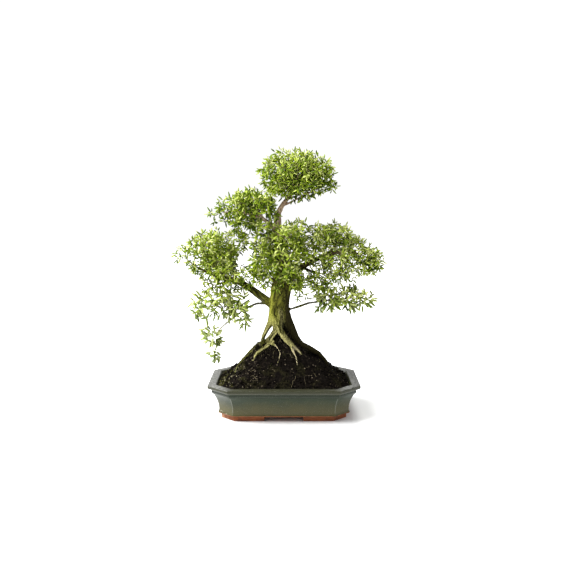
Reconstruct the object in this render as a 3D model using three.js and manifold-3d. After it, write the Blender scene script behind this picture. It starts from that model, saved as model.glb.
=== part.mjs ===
// Serissa bonsai in a glazed tray pot: one grown tree whose roots clasp a mound of soil.
// Millimetres, +Z up, the front of the tray faces -Y.
// The origin is the centre of the whole plant's box in plan, on the surface that the feet stand on.

import * as THREE from "three";
import { mergeVertices } from "three/addons/utils/BufferGeometryUtils.js";
import Module from "manifold-3d";

// Driving dimensions

// The tray, a rectangle with its corners cut off.
const TRAY = {
  halfWidth: 155,
  halfDepth: 110,
  cornerCut: 43.4,
  rimHeight: 69.5,
  floorTop: 17,
  underside: 9.5,
};
// How much of a corner cut is lost for each millimetre that all eight sides move in.
const CUT_PER_INSET = 2 - Math.SQRT2;

// The outer wall from the underside to the rim, as [inset from the rim, height].
const OUTER_WALL = [
  [25, 9.5],
  [21.6, 10.2],
  [20.8, 12.4],
  [22.4, 15],
  [22.8, 20],
  [21.8, 28],
  [19.6, 36],
  [16.6, 43],
  [12.8, 49.5],
  [9.2, 52.5],
  [8, 55.5],
  [8.8, 58.6],
  [7.6, 60],
  [1.4, 61.6],
  [0, 63.4],
  [0, 68.4],
  [1.2, 69.5],
];
// The hollow from the floor to the flat rim.
const INNER_WALL = [
  [35, 17],
  [32, 24],
  [29, 36],
  [24.5, 50],
  [21, 61],
  [18.6, 66.6],
  [16, 69.5],
];
// Four feet, what is left of a ring when its middle sides are cut away.
const FOOT = { inset: 27.6, thickness: 19, bevel: 1.6, sink: 2, frontGap: 78, sideGap: 62 };
const DRAIN = { radius: 9, offset: 58, sides: 16 };
const SCREEN = { side: 28, thickness: 1.2, bar: 2, holes: 3 };

// The gaps left where one piece is cut to sit on another, and round the wood.
const SEAT_GAP = 0.3;
const WOOD_GAP = 0.35;
// How far a cutting solid runs past what it cuts, and the width of the slivers that a cut
// may leave and that are merged again.
const PAST = 1;
const SLIVER = 0.01;

// The soil: a little under the rim at its edge, heaped in the middle. Its rings lie at these
// shares of the way from the middle to the edge.
const SOIL = { edge: 65, edgeInset: 20.5, heap: 110, steepness: 1.05, roughness: 1.3 };
const SOIL_RINGS = [1, 0.9, 0.76, 0.62, 0.48, 0.34, 0.19];
// How the soil's edge is divided on each side of the tray's outline.
const EDGE_SPLITS = [3, 2, 5, 2, 3, 2, 5, 2];
// Hollows and shoulders of the heap, as [x, y, height, radius].
const SOIL_BUMPS = [
  [48, -2, -15, 20],
  [80, 4, 13, 20],
  [-62, 6, 6, 24],
  [-30, 2, -6, 12],
  [10, -52, 5, 26],
  [-20, 50, 5, 26],
];

// The leaves of a shoot: their size, half the shoot's thickness at its middle, and the
// fewest and most that a shoot has.
const LEAF_SMALL = { length: 18.5, width: 7.6, half: 0.9, fewest: 5, most: 6 };
const LEAF_LARGE = { length: 21, width: 7.2, half: 1, fewest: 5, most: 5 };

// Helpers

const wasm = await Module();
wasm.setup();

// A small seeded generator, so that every build draws the same twigs.
function seeded(seed) {
  let state = seed >>> 0;
  return () => {
    state = (state + 0x6d2b79f5) >>> 0;
    let t = Math.imul(state ^ (state >>> 15), 1 | state);
    t = (t + Math.imul(t ^ (t >>> 7), 61 | t)) ^ t;
    return ((t ^ (t >>> 14)) >>> 0) / 4294967296;
  };
}

const vec = (x, y, z) => new THREE.Vector3(x, y, z);
const mix = THREE.MathUtils.lerp;

function toSolid(geometry) {
  const bare = geometry.clone();
  bare.deleteAttribute("normal");
  bare.deleteAttribute("uv");
  const merged = mergeVertices(bare, 1e-4);
  return new wasm.Manifold(
    new wasm.Mesh({
      numProp: 3,
      vertProperties: merged.attributes.position.array,
      triVerts: new Uint32Array(merged.index.array),
    }),
  );
}

function toGeometry(solid) {
  const mesh = solid.getMesh();
  const points = new Float32Array(mesh.numVert * 3);
  for (let i = 0; i < mesh.numVert; i++) {
    for (let k = 0; k < 3; k++) {
      points[3 * i + k] = mesh.vertProperties[mesh.numProp * i + k];
    }
  }
  const geometry = new THREE.BufferGeometry();
  geometry.setAttribute("position", new THREE.BufferAttribute(points, 3));
  geometry.setIndex(new THREE.BufferAttribute(mesh.triVerts, 1));
  geometry.computeVertexNormals();
  return geometry;
}

const largest = (solid) =>
  solid.decompose().reduce((a, b) => (a.volume() > b.volume() ? a : b));

// A closed solid swept through sections. place(u, k, middle) gives corner k of the section
// at u from 0 to 1, or the section's middle, which closes the two ends.
function sweep(sides, steps, place) {
  const geometry = new THREE.CylinderGeometry(1, 1, 1, sides, steps);
  const p = geometry.getAttribute("position");
  for (let i = 0; i < p.count; i++) {
    const turn = Math.atan2(p.getX(i), p.getZ(i)) / (2 * Math.PI);
    const corner = (Math.round(turn * sides) + sides) % sides;
    const middle = Math.hypot(p.getX(i), p.getZ(i)) < 0.5;
    const at = place(p.getY(i) + 0.5, corner, middle);
    p.setXYZ(i, at.x, at.y, at.z);
  }
  return geometry;
}

// The smooth curve along a limb's points [x, y, z, radius].
function limbCurve(points) {
  const places = points.map(([x, y, z]) => vec(x, y, z));
  return new THREE.CatmullRomCurve3(places, false, "centripetal");
}

// The radius of a limb at t from 0 to 1, counted in its points.
function limbRadius(points, t) {
  const along = t * (points.length - 1);
  const i = Math.min(points.length - 2, Math.floor(along));
  return mix(points[i][3], points[i + 1][3], along - i);
}

// A round, tapering limb with sections at equal distances, fattened all over by swell.
function limb(points, sides, steps, swell = 0) {
  const curve = limbCurve(points);
  const frames = curve.computeFrenetFrames(steps, false);
  const geometry = sweep(sides, steps, (u, corner, middle) => {
    const step = Math.round(u * steps);
    const t = curve.getUtoTmapping(u);
    const at = curve.getPoint(t);
    if (step === 0) at.addScaledVector(frames.tangents[step], -swell);
    if (step === steps) at.addScaledVector(frames.tangents[step], swell);
    if (middle) return at;
    const angle = (2 * Math.PI * corner) / sides;
    const radius = limbRadius(points, t) + swell;
    at.addScaledVector(frames.normals[step], Math.cos(angle) * radius);
    at.addScaledVector(frames.binormals[step], Math.sin(angle) * radius);
    return at;
  });
  return toSolid(geometry);
}

const joined = (solids) => wasm.Manifold.union(solids);

// The tray

// The eight corners of the tray's outline, with all sides moved in by inset.
function trayCorners(inset) {
  const a = TRAY.halfWidth - inset;
  const b = TRAY.halfDepth - inset;
  const c = TRAY.cornerCut - CUT_PER_INSET * inset;
  const right = [
    [a, -(b - c)],
    [a, b - c],
    [a - c, b],
    [c - a, b],
  ];
  return [...right, ...right.map(([x, y]) => [-x, -y])];
}

// A solid whose every section is the tray's outline, through [inset, height] pairs.
function trayStack(profile) {
  const steps = profile.length - 1;
  return toSolid(
    sweep(8, steps, (u, corner, middle) => {
      const [inset, z] = profile[Math.round(u * steps)];
      const [x, y] = middle ? [0, 0] : trayCorners(inset)[corner];
      return vec(x, y, z);
    }),
  );
}

function box(width, depth, low, high, x = 0, y = 0) {
  const geometry = new THREE.BoxGeometry(width, depth, high - low);
  return toSolid(geometry.translate(x, y, (low + high) / 2));
}

// The feet, sunk a little into the tray's underside.
function feet() {
  const top = TRAY.underside + FOOT.sink;
  const ring = trayStack([
    [FOOT.inset + FOOT.bevel, 0],
    [FOOT.inset, FOOT.bevel],
    [FOOT.inset, top],
  ]);
  const cut = top + PAST;
  const inside = trayStack([
    [FOOT.inset + FOOT.thickness, -PAST],
    [FOOT.inset + FOOT.thickness, cut],
  ]);
  const frontGap = box(FOOT.frontGap, 2 * TRAY.halfDepth, -PAST, cut);
  const sideGap = box(2 * TRAY.halfWidth, FOOT.sideGap, -PAST, cut);
  return ring.subtract(joined([inside, frontGap, sideGap]));
}

function drain(x) {
  const bore = new THREE.CylinderGeometry(
    DRAIN.radius,
    DRAIN.radius,
    TRAY.floorTop,
    DRAIN.sides,
  );
  bore.rotateX(Math.PI / 2);
  return toSolid(bore.translate(x, 0, TRAY.floorTop));
}

function tray() {
  const mouth = INNER_WALL[INNER_WALL.length - 1][0];
  const hollow = trayStack([...INNER_WALL, [mouth, TRAY.rimHeight + PAST]]);
  const drains = [-1, 1].map((side) => drain(side * DRAIN.offset));
  return trayStack(OUTER_WALL).subtract(hollow).add(feet()).subtract(joined(drains));
}

// A square of plastic mesh over each drain hole.
const screenLow = TRAY.floorTop + SEAT_GAP;
const screenTop = screenLow + SCREEN.thickness;

function drainScreen(x) {
  const half = SCREEN.side / 2;
  const pitch = (SCREEN.side - SCREEN.bar) / SCREEN.holes;
  const opening = pitch - SCREEN.bar;
  const holes = [];
  for (let i = 0; i < SCREEN.holes; i++) {
    for (let j = 0; j < SCREEN.holes; j++) {
      const u = -half + SCREEN.bar + i * pitch + opening / 2;
      const v = -half + SCREEN.bar + j * pitch + opening / 2;
      holes.push(box(opening, opening, screenLow - PAST, screenTop + PAST, x + u, v));
    }
  }
  return box(SCREEN.side, SCREEN.side, screenLow, screenTop, x).subtract(joined(holes));
}

// The soil

// Points round the tray's outline, starting at its right side.
function trayOutline(inset) {
  const corners = trayCorners(inset);
  return corners.flatMap(([x, y], i) => {
    const [nextX, nextY] = corners[(i + 1) % 8];
    const n = EDGE_SPLITS[i];
    return Array.from({ length: n }, (_, k) => [
      mix(x, nextX, k / n),
      mix(y, nextY, k / n),
    ]);
  });
}

// How far out a point of the plan lies, 0 in the middle and 1 at the soil's edge.
function soilReach(x, y) {
  const a = TRAY.halfWidth - SOIL.edgeInset;
  const b = TRAY.halfDepth - SOIL.edgeInset;
  const c = TRAY.cornerCut - CUT_PER_INSET * SOIL.edgeInset;
  const diagonal = (Math.abs(x) + Math.abs(y)) / (a + b - c);
  const square = Math.max(Math.abs(x) / a, Math.abs(y) / b, diagonal);
  const round = Math.hypot(x / a, y / b);
  return Math.min(1, mix(round, square, Math.min(1, square)));
}

function soilTop(x, y) {
  const out = soilReach(x, y);
  const heap = SOIL.heap * Math.pow(1 - out, SOIL.steepness);
  const bumps = SOIL_BUMPS.reduce((sum, [bx, by, height, radius]) => {
    const away = Math.hypot(x - bx, y - by) / radius;
    return sum + height * Math.exp(-away * away);
  }, 0);
  return SOIL.edge + heap + bumps * Math.min(1, 4 * (1 - out));
}

function soilHeap() {
  const draw = seeded(7);
  const edge = trayOutline(SOIL.edgeInset);
  const wall = INNER_WALL.filter(([, z]) => z < SOIL.edge - 2);
  const steps = wall.length + SOIL_RINGS.length - 1;
  const lumps = SOIL_RINGS.map(() => edge.map(() => SOIL.roughness * (2 * draw() - 1)));
  return toSolid(
    sweep(edge.length, steps, (u, corner, middle) => {
      const step = Math.round(u * steps);
      if (step < wall.length) {
        const low = step === 0 ? SEAT_GAP : 0;
        const [inset, z] = wall[step];
        const [x, y] = middle ? [0, 0] : trayOutline(inset + SEAT_GAP)[corner];
        return vec(x, y, z + low);
      }
      const i = step - wall.length;
      const reach = middle ? 0 : SOIL_RINGS[i];
      const [x, y] = edge[corner].map((value) => value * reach);
      const lump = i === 0 || middle ? 0 : lumps[i][corner];
      return vec(x, y, soilTop(x, y) + lump);
    }),
  );
}

// The tree's wood: trunk, roots and branches, one grown piece

// Strands of the trunk and its branches, as [x, y, z, radius].
const TRUNK = [
  {
    sides: 10,
    points: [
      [-9, 2, 168, 15],
      [-9, 1, 186, 17],
      [-9, 0, 206, 17.5],
      [-9, 0, 230, 18],
      [-7, 1, 258, 18],
      [-2, 2, 284, 17.5],
      [-3, 2, 312, 14],
      [-9, 1, 345, 10.5],
      [-13, 0, 378, 8.4],
      [-12.5, 0, 402, 7.2],
      [-12, 0, 417, 6.6],
      [-5, 0, 430, 5],
      [8, 0, 444, 4],
      [17, 0, 460, 3.6],
      [25, 0, 478, 3],
      [29, 0, 494, 1.8],
    ],
  },
  {
    sides: 6,
    points: [
      [-30, -6, 182, 6.5],
      [-25, -9, 200, 8.5],
      [-22, -9, 225, 9.5],
      [-21, -7, 252, 9],
      [-15, -6, 282, 8],
      [-10, -4, 310, 6],
    ],
  },
  {
    sides: 6,
    points: [
      [14, -4, 190, 7],
      [8, -6, 210, 8],
      [5, -8, 236, 8.5],
      [9, -7, 262, 8.5],
      [15, -4, 286, 8.5],
      [12, 0, 306, 6],
    ],
  },
  {
    sides: 6,
    points: [
      [-6, 14, 178, 7],
      [-5, 13, 206, 8],
      [-9, 13, 240, 8],
      [-4, 13, 275, 7.5],
      [-4, 9, 308, 5],
    ],
  },
];

// Roots run over the heap. Each point is [x, y, height, radius], and a height given as
// a text such as "+4" is measured from the soil under it.
const ROOTS = [
  [
    [-22, -6, 205, 8],
    [-28, -7, 188, 8],
    [-36, -8, 171, 6.4],
    [-43, -9, 155, 5.6],
    [-46, -10, "+2", 5.4],
    [-52, -13, "-7", 4],
  ],
  [
    [-8, -10, 184, 6],
    [-16, -13, 171, 5.2],
    [-30, -15, "+4", 4.6],
    [-44, -18, "+2.5", 4.2],
    [-55, -22, "+0.5", 3.6],
    [-64, -27, "-6", 3],
  ],
  [
    [-20, -16, "+1", 4.6],
    [-34, -21, "+2.5", 4.4],
    [-47, -24, "+3", 4.2],
    [-59, -26, "+2.5", 4],
    [-63, -31, "-1", 3.6],
    [-65, -36, "-8", 3],
  ],
  [
    [-30, -2, "+2", 6],
    [-47, -4, "+5", 6.4],
    [-64, -5, "+5", 6],
    [-80, -6, "+3.5", 5.2],
    [-94, -9, "+2", 3.6],
    [-99, -20, "+0.8", 2.4],
    [-102, -34, "-0.4", 2],
    [-103, -42, "-6", 1.8],
  ],
  [
    [-26, -14, 206, 5],
    [-22, -20, 195, 6],
    [-8, -23, 181, 6.2],
    [8, -25, 163, 5.8],
    [20, -27, 148, 5.2],
    [30, -28, "+4", 4.6],
    [37, -31, "-1", 3.8],
    [43, -34, "-9", 3],
  ],
  [
    [10, -4, 208, 9],
    [17, -5, 190, 10],
    [28, -6, 168, 9],
    [38, -8, 146, 7.4],
    [53, -9, 135, 6],
    [68, -9, 126, 5],
    [79, -9, 119, 4.2],
    [88, -9, "-2", 3.4],
    [93, -9, "-9", 3],
  ],
  [
    [22, -27, 145, 3.4],
    [21, -34, "+2", 2.6],
    [25, -43, "+1.6", 2.3],
    [26, -51, "+1.2", 2],
    [31, -59, "-4", 1.7],
  ],
  [
    [-6, 12, 186, 8],
    [-14, 24, 160, 7],
    [-24, 40, "+4", 5.6],
    [-34, 54, "+1", 4.4],
    [-42, 64, "-7", 3.6],
  ],
  [
    [4, 12, 184, 7.5],
    [16, 24, 158, 6.6],
    [30, 36, "+4", 5.4],
    [46, 46, "+1", 4.2],
    [58, 52, "-8", 3.4],
  ],
  [
    [-12, 8, 178, 6.5],
    [-34, 18, "+5", 5.4],
    [-54, 26, "+3", 4.6],
    [-74, 30, "+1", 3.8],
    [-88, 33, "-8", 3],
  ],
  [
    [-28, -18, "+2", 3],
    [-21, -23, "+2.4", 2.6],
    [-12, -30, "+1.8", 2.4],
    [-5, -37, "+1.5", 2.2],
    [-9, -44, "+1", 2],
    [-13, -51, "-4", 1.7],
  ],
];

// Branches that carry the leafy sprays.
const BRANCHES = {
  left: [
    [-10, 0, 214, 11],
    [-34, -4, 232, 9.4],
    [-61, -7, 253, 8.4],
    [-82, -8, 268, 8],
    [-106, -8, 278, 7.2],
    [-128, -6, 282, 6.6],
    [-142, -5, 283, 6.2],
  ],
  left_rise: [
    [-126, -6, 281, 4.6],
    [-140, -3, 300, 3.8],
    [-150, 0, 322, 2.8],
    [-158, 2, 336, 2],
  ],
  left_inner: [
    [-98, -8, 276, 4.4],
    [-106, 0, 300, 3.4],
    [-110, 6, 324, 2.6],
    [-111, 8, 340, 1.9],
  ],
  left_tip: [
    [-134, -6, 282, 4],
    [-160, -10, 294, 3],
    [-182, -11, 305, 2.2],
    [-200, -10, 320, 1.5],
  ],
  left_back: [
    [-112, -6, 279, 3.8],
    [-122, 16, 296, 2.8],
    [-132, 32, 312, 1.9],
  ],
  left_under: [
    [-114, -10, 277, 3.2],
    [-128, -20, 272, 2.4],
    [-138, -26, 270, 1.8],
  ],
  low_left: [
    [-34, -6, 228, 3.4],
    [-48, -12, 230, 2.6],
    [-74, -18, 223, 2.3],
    [-98, -22, 205, 2],
    [-122, -24, 187, 1.7],
    [-140, -22, 168, 1.4],
    [-147, -20, 150, 1.2],
    [-144, -19, 130, 1],
  ],
  low_left_rise: [
    [-86, -20, 215, 2],
    [-106, -24, 222, 1.7],
    [-134, -26, 224, 1.4],
    [-152, -26, 226, 1.2],
  ],
  low_right: [
    [6, -6, 212, 3.6],
    [34, -9, 222, 2.7],
    [62, -11, 232, 2.4],
    [80, -12, 234, 2.1],
    [108, -14, 238, 1.8],
    [134, -16, 240, 1.5],
    [152, -16, 240, 1.2],
  ],
  right: [
    [4, 2, 280, 11],
    [30, 4, 300, 8],
    [58, 4, 315, 6],
    [90, 3, 329, 4.6],
    [122, 1, 337, 3.6],
    [150, -1, 338, 2.4],
  ],
  right_tip: [
    [132, 0, 338, 3],
    [156, -5, 330, 2.4],
    [180, -6, 320, 1.8],
  ],
  right_rise: [
    [56, 4, 314, 4.2],
    [66, 2, 338, 3],
    [69, 0, 356, 2],
  ],
  right_top: [
    [86, 3, 327, 4],
    [106, 5, 346, 3],
    [116, 6, 362, 2],
  ],
  right_low: [
    [112, 2, 335, 3.4],
    [132, -12, 318, 2.4],
    [143, -16, 304, 1.7],
  ],
  right_inner: [
    [36, 2, 303, 4],
    [56, -14, 296, 2.8],
    [68, -20, 289, 1.8],
  ],
  right_back: [
    [80, 4, 325, 4],
    [96, 26, 334, 2.8],
    [104, 40, 341, 1.9],
  ],
  upper_left: [
    [-13, 0, 374, 6.4],
    [-32, -3, 396, 4.6],
    [-56, -4, 410, 3.8],
    [-82, -4, 415, 3],
    [-106, -5, 420, 2.2],
    [-124, -6, 415, 1.4],
  ],
  upper_left_rise: [
    [-42, -4, 402, 3.2],
    [-52, 0, 420, 2.4],
    [-56, 2, 430, 1.8],
  ],
  upper_left_back: [
    [-50, -4, 407, 3.2],
    [-62, 16, 414, 2.4],
    [-66, 28, 420, 1.7],
  ],
  crown_low: [
    [-5, -1, 428, 2.8],
    [20, -4, 440, 2.2],
    [46, -6, 454, 1.9],
    [66, -6, 464, 1.5],
  ],
  crown_left: [
    [14, 0, 455, 2.8],
    [2, 2, 474, 2.2],
    [-10, 2, 486, 1.6],
  ],
  crown_right: [
    [21, 0, 468, 2.6],
    [40, 2, 484, 2.1],
    [54, 2, 496, 1.5],
  ],
  crown_back: [
    [23, 0, 474, 2.4],
    [30, 18, 484, 1.9],
    [33, 28, 488, 1.4],
  ],
  crown_front: [
    [20, 0, 466, 2.4],
    [26, -18, 476, 1.9],
    [28, -26, 480, 1.4],
  ],
  centre_left: [
    [-10, -4, 318, 5],
    [-26, -22, 330, 3.2],
    [-40, -28, 336, 2],
  ],
  centre_front: [
    [2, -4, 300, 5],
    [8, -26, 312, 3],
    [8, -36, 318, 1.9],
  ],
  centre_up: [
    [-8, -2, 344, 4.4],
    [2, -18, 356, 2.8],
    [8, -25, 362, 1.8],
  ],
  centre_high: [
    [-12, -2, 350, 4],
    [-26, -10, 362, 2.6],
    [-33, -13, 367, 1.8],
  ],
  centre_low: [
    [-14, -10, 276, 4.4],
    [-24, -26, 282, 2.8],
    [-28, -34, 284, 1.8],
  ],
  centre_back: [
    [-2, 6, 324, 5.4],
    [-2, 30, 338, 3.4],
    [-3, 44, 346, 2],
  ],
  centre_back_low: [
    [-2, 8, 282, 4.6],
    [-16, 32, 296, 3],
    [-22, 44, 303, 1.9],
  ],
};

// A root's points with every height counted from the ground.
function rootPoints(points) {
  return points.map(([x, y, height, radius]) => {
    const z = typeof height === "string" ? soilTop(x, y) + Number(height) : height;
    return [x, y, z, radius];
  });
}

// All the wood, fattened by swell. With swell it cuts the room that the wood needs.
function wood(swell = 0) {
  const strands = TRUNK.map(({ sides, points }) =>
    limb(points, sides, points.length - 1, swell),
  );
  const roots = ROOTS.map((points) =>
    limb(rootPoints(points), 5, points.length - 1, swell),
  );
  const branches = Object.values(BRANCHES).map((points) => {
    const thick = points[0][3] > 5;
    return limb(points, thick ? 6 : 4, points.length - 1, swell);
  });
  return joined([...strands, ...roots, ...branches]);
}

// Leafy sprays

// Each spray is a name, the middle and half sizes of the space that it fills, and its
// number of shoots. Those low on the tree have larger leaves.
const SPRAYS = [
  ["crown_left", [-22, 2, 497], [28, 28, 24], 3],
  ["crown_top", [24, 2, 516], [30, 30, 26], 4],
  ["crown_right", [68, 2, 505], [30, 30, 25], 4],
  ["crown_low", [83, -5, 472], [27, 26, 22], 4],
  ["crown_back", [36, 44, 494], [32, 26, 26], 4],
  ["crown_front", [32, -40, 490], [30, 24, 26], 4],
  ["crown_under", [6, -8, 464], [24, 22, 17], 3],
  ["crown_under_right", [46, -8, 464], [20, 22, 16], 2],
  ["upper_left_far", [-103, -5, 437], [27, 26, 24], 3],
  ["upper_left_top", [-60, 0, 441], [28, 28, 24], 4],
  ["upper_left_low", [-81, -16, 401], [28, 24, 20], 3],
  ["upper_left_near", [-30, -6, 428], [20, 22, 18], 3],
  ["upper_left_back", [-72, 42, 424], [30, 24, 24], 4],
  ["upper_left_tail", [-139, -7, 411], [15, 18, 24], 3],
  ["left_top", [-164, 2, 350], [28, 28, 24], 4],
  ["left_inner", [-112, 6, 354], [28, 28, 24], 3],
  ["left_mid", [-134, -14, 314], [30, 24, 20], 3],
  ["left_far", [-186, -10, 312], [22, 24, 20], 3],
  ["left_tip", [-208, -10, 333], [16, 18, 16], 3],
  ["left_under", [-150, -24, 266], [24, 22, 14], 2],
  ["left_back", [-136, 44, 322], [30, 26, 24], 4],
  ["left_front", [-112, -28, 290], [24, 20, 18], 3],
  ["centre_high", [-43, -14, 374], [25, 24, 24], 3],
  ["centre_up", [14, -32, 368], [26, 24, 26], 4],
  ["centre_left", [-48, -28, 326], [24, 24, 24], 3],
  ["centre_front", [8, -46, 322], [26, 22, 25], 4],
  ["centre_low", [-28, -44, 284], [22, 20, 18], 2],
  ["centre_base", [12, -42, 286], [22, 18, 18], 2],
  ["centre_back", [-4, 62, 352], [36, 26, 30], 4],
  ["centre_back_low", [-28, 58, 306], [28, 24, 22], 3],
  ["right_rise", [70, -2, 371], [27, 28, 25], 3],
  ["right_top", [122, 8, 375], [30, 30, 27], 4],
  ["right_far", [165, -3, 340], [28, 28, 24], 4],
  ["right_mid", [108, -16, 322], [28, 24, 22], 3],
  ["right_inner", [60, -20, 330], [22, 22, 20], 2],
  ["right_tip", [187, -4, 314], [15, 18, 16], 3],
  ["right_low", [150, -20, 292], [26, 24, 18], 3],
  ["right_under", [78, -28, 282], [24, 22, 16], 2],
  ["right_back", [112, 54, 348], [34, 26, 28], 3],
];
const LOW_SPRAYS = [
  ["low_right_near", [88, -14, 242], [24, 22, 14], 3],
  ["low_right_mid", [128, -18, 244], [20, 22, 18], 2],
  ["low_right_far", [166, -16, 240], [20, 20, 16], 3],
  ["low_left_far", [-166, -26, 232], [24, 22, 20], 3],
  ["low_left_mid", [-118, -26, 236], [22, 22, 20], 2],
  ["low_left_near", [-94, -24, 206], [20, 20, 18], 2],
  ["low_left_hang", [-150, -22, 164], [22, 20, 16], 2],
  ["low_left_end", [-143, -18, 122], [13, 14, 13], 2],
];

// How a shoot is placed: the share of its spray's half sizes that it reaches, the turn and
// the step inwards of each new try, its lean upwards, and how far its leaves lift or droop.
const SHOOT = {
  reach: 0.66,
  reachSpread: 0.2,
  levelSpread: 0.5,
  turnSpread: 0.8,
  tries: 24,
  turnPerTry: 0.9,
  inwardPerTry: 0.012,
  lean: 0.5,
  lift: 0.4,
  liftSpread: 0.35,
  droop: 0.3,
};
const GOLDEN_ANGLE = Math.PI * (3 - Math.sqrt(5));
// A spray's stem, and where along it the first and last twigs leave.
const STEM = { root: 1.7, tip: 1.4, least: 9, arch: 1.5, firstTwig: 0.45, lastTwig: 0.92 };
const TWIG = { sides: 3, root: 0.9, tip: 0.75 };
// The four outline corners of a leaf: its notch, a side, its tip and the other side.
const LEAF_OUTLINE = [
  { out: 0.12, across: 0 },
  { out: 0.52, across: -0.5 },
  { out: 1, across: 0 },
  { out: 0.52, across: 0.5 },
];
// How far a spray's leaves and twigs stay from every other piece.
const CLEAR = 0.5;

const UP = vec(0, 0, 1);

// The outline of a shoot's leaves, a star seen from above.
function leafOutline({ at, axis, leaves, turn, lift }, leaf, grow) {
  const tilt = new THREE.Quaternion().setFromUnitVectors(UP, axis);
  const outline = [];
  for (let i = 0; i < leaves; i++) {
    const rise = i % 2 ? lift : -SHOOT.droop * lift;
    LEAF_OUTLINE.forEach(({ out, across }, part) => {
      const notch = part === 0;
      const angle = turn + (2 * Math.PI * (i - (notch ? 0.5 : 0))) / leaves;
      const reach = out * (leaf.length + grow);
      const climb = notch ? 0 : rise;
      const corner = vec(reach * Math.cos(climb), across * (leaf.width + 2 * grow), 0);
      corner.applyAxisAngle(UP, angle);
      corner.z = reach * Math.sin(climb);
      outline.push(corner.applyQuaternion(tilt).add(at));
    });
  }
  return outline;
}

// The corners of a twig's section.
function twigRing(at, axis, radius, turn) {
  const tilt = new THREE.Quaternion().setFromUnitVectors(UP, axis);
  return Array.from({ length: TWIG.sides }, (_, k) => {
    const angle = turn + (2 * Math.PI * k) / TWIG.sides;
    const corner = vec(radius * Math.cos(angle), radius * Math.sin(angle), 0);
    return corner.applyQuaternion(tilt).add(at);
  });
}

// A twig and the leaves at its end as one body, fattened by grow. The star's upper side
// rises to a point in its middle, and its underside runs in to the twig's corners.
function shoot(plan, leaf, grow = 0) {
  const { from, at, axis, turn } = plan;
  const outline = leafOutline(plan, leaf, grow);
  const high = at.clone().addScaledVector(axis, leaf.half + grow);
  const low = at.clone().addScaledVector(axis, -leaf.half - grow);
  const along = low.clone().sub(from).normalize();
  const neck = twigRing(low, axis, TWIG.tip + grow, turn);
  const foot = twigRing(from, along, TWIG.root + grow, turn);
  const points = [...outline, ...neck, ...foot, high];
  const n = outline.length;
  const sides = TWIG.sides;
  const top = points.length - 1;
  // Corner 2 of the outline, a leaf's tip, points the same way as the neck's first corner.
  const neckOf = (i) => n + ((Math.round((sides * (i - 2)) / n) + sides) % sides);
  const faces = [[n + sides, n + sides + 2, n + sides + 1]];
  for (let i = 0; i < n; i++) {
    const next = (i + 1) % n;
    faces.push([top, i, next]);
    faces.push([next, i, neckOf(i)]);
    if (neckOf(i) !== neckOf(next)) faces.push([next, neckOf(i), neckOf(next)]);
  }
  for (let k = 0; k < sides; k++) {
    const a = n + k;
    const b = n + ((k + 1) % sides);
    faces.push([a, a + sides, b + sides]);
    faces.push([a, b + sides, b]);
  }
  const geometry = new THREE.BufferGeometry().setFromPoints(points);
  geometry.setIndex(faces.flat());
  return toSolid(geometry);
}

function boxesMeet(a, b) {
  return [0, 1, 2].every((k) => a.min[k] < b.max[k] && b.min[k] < a.max[k]);
}

// Whether a solid crosses none of a list.
function clearOf(solid, others) {
  const own = solid.boundingBox();
  return others.every(
    (other) => !boxesMeet(own, other.boundingBox()) || solid.intersect(other).isEmpty(),
  );
}

// Whether no triangle of a solid is so thin that rounding its corners would close it up.
const THINNEST = 0.0015;
function isSound(solid) {
  const geometry = toGeometry(solid);
  const place = geometry.getAttribute("position");
  const corners = geometry.getIndex().array;
  const triangle = new THREE.Triangle();
  for (let i = 0; i < corners.length; i += 3) {
    triangle.setFromAttributeAndIndices(place, corners[i], corners[i + 1], corners[i + 2]);
    const { a, b, c } = triangle;
    const longest = Math.max(a.distanceTo(b), b.distanceTo(c), c.distanceTo(a));
    if (2 * triangle.getArea() < THINNEST * longest) return false;
  }
  return true;
}

// Every place on the branches where a spray could grow, with the branch's radius there.
const FIRST_PLACE = 0.15;
const PLACES = 40;
const SEATS = Object.values(BRANCHES).flatMap((points) => {
  const curve = limbCurve(points);
  return Array.from({ length: PLACES + 1 }, (_, i) => {
    const t = mix(FIRST_PLACE, 1, i / PLACES);
    return { at: curve.getPoint(t), radius: limbRadius(points, t) };
  });
});

const stemLimb = (points, swell = 0) => limb(points, 4, 2, swell);

// The stem of a spray, from the nearest place on a branch where it crosses no other stem
// and meets the wood cleanly.
function planStem(middle, stems, room) {
  const centre = vec(...middle);
  const seats = [...SEATS].sort((a, b) => a.at.distanceTo(centre) - b.at.distanceTo(centre));
  for (const seat of seats) {
    const reach = centre.clone().sub(seat.at);
    reach.setLength(Math.max(reach.length(), seat.radius + STEM.least));
    const end = seat.at.clone().add(reach);
    const bend = seat.at.clone().lerp(end, 0.5).addScaledVector(UP, STEM.arch);
    const points = [
      [...seat.at.toArray(), STEM.root],
      [...bend.toArray(), STEM.root],
      [...end.toArray(), STEM.tip],
    ];
    const roomy = stemLimb(points, CLEAR);
    if (!clearOf(roomy, stems.map((stem) => stem.roomy))) continue;
    if (isSound(stemLimb(points).subtract(room))) return { points, roomy };
  }
  throw new Error(`no branch is free near ${middle}`);
}

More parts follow.
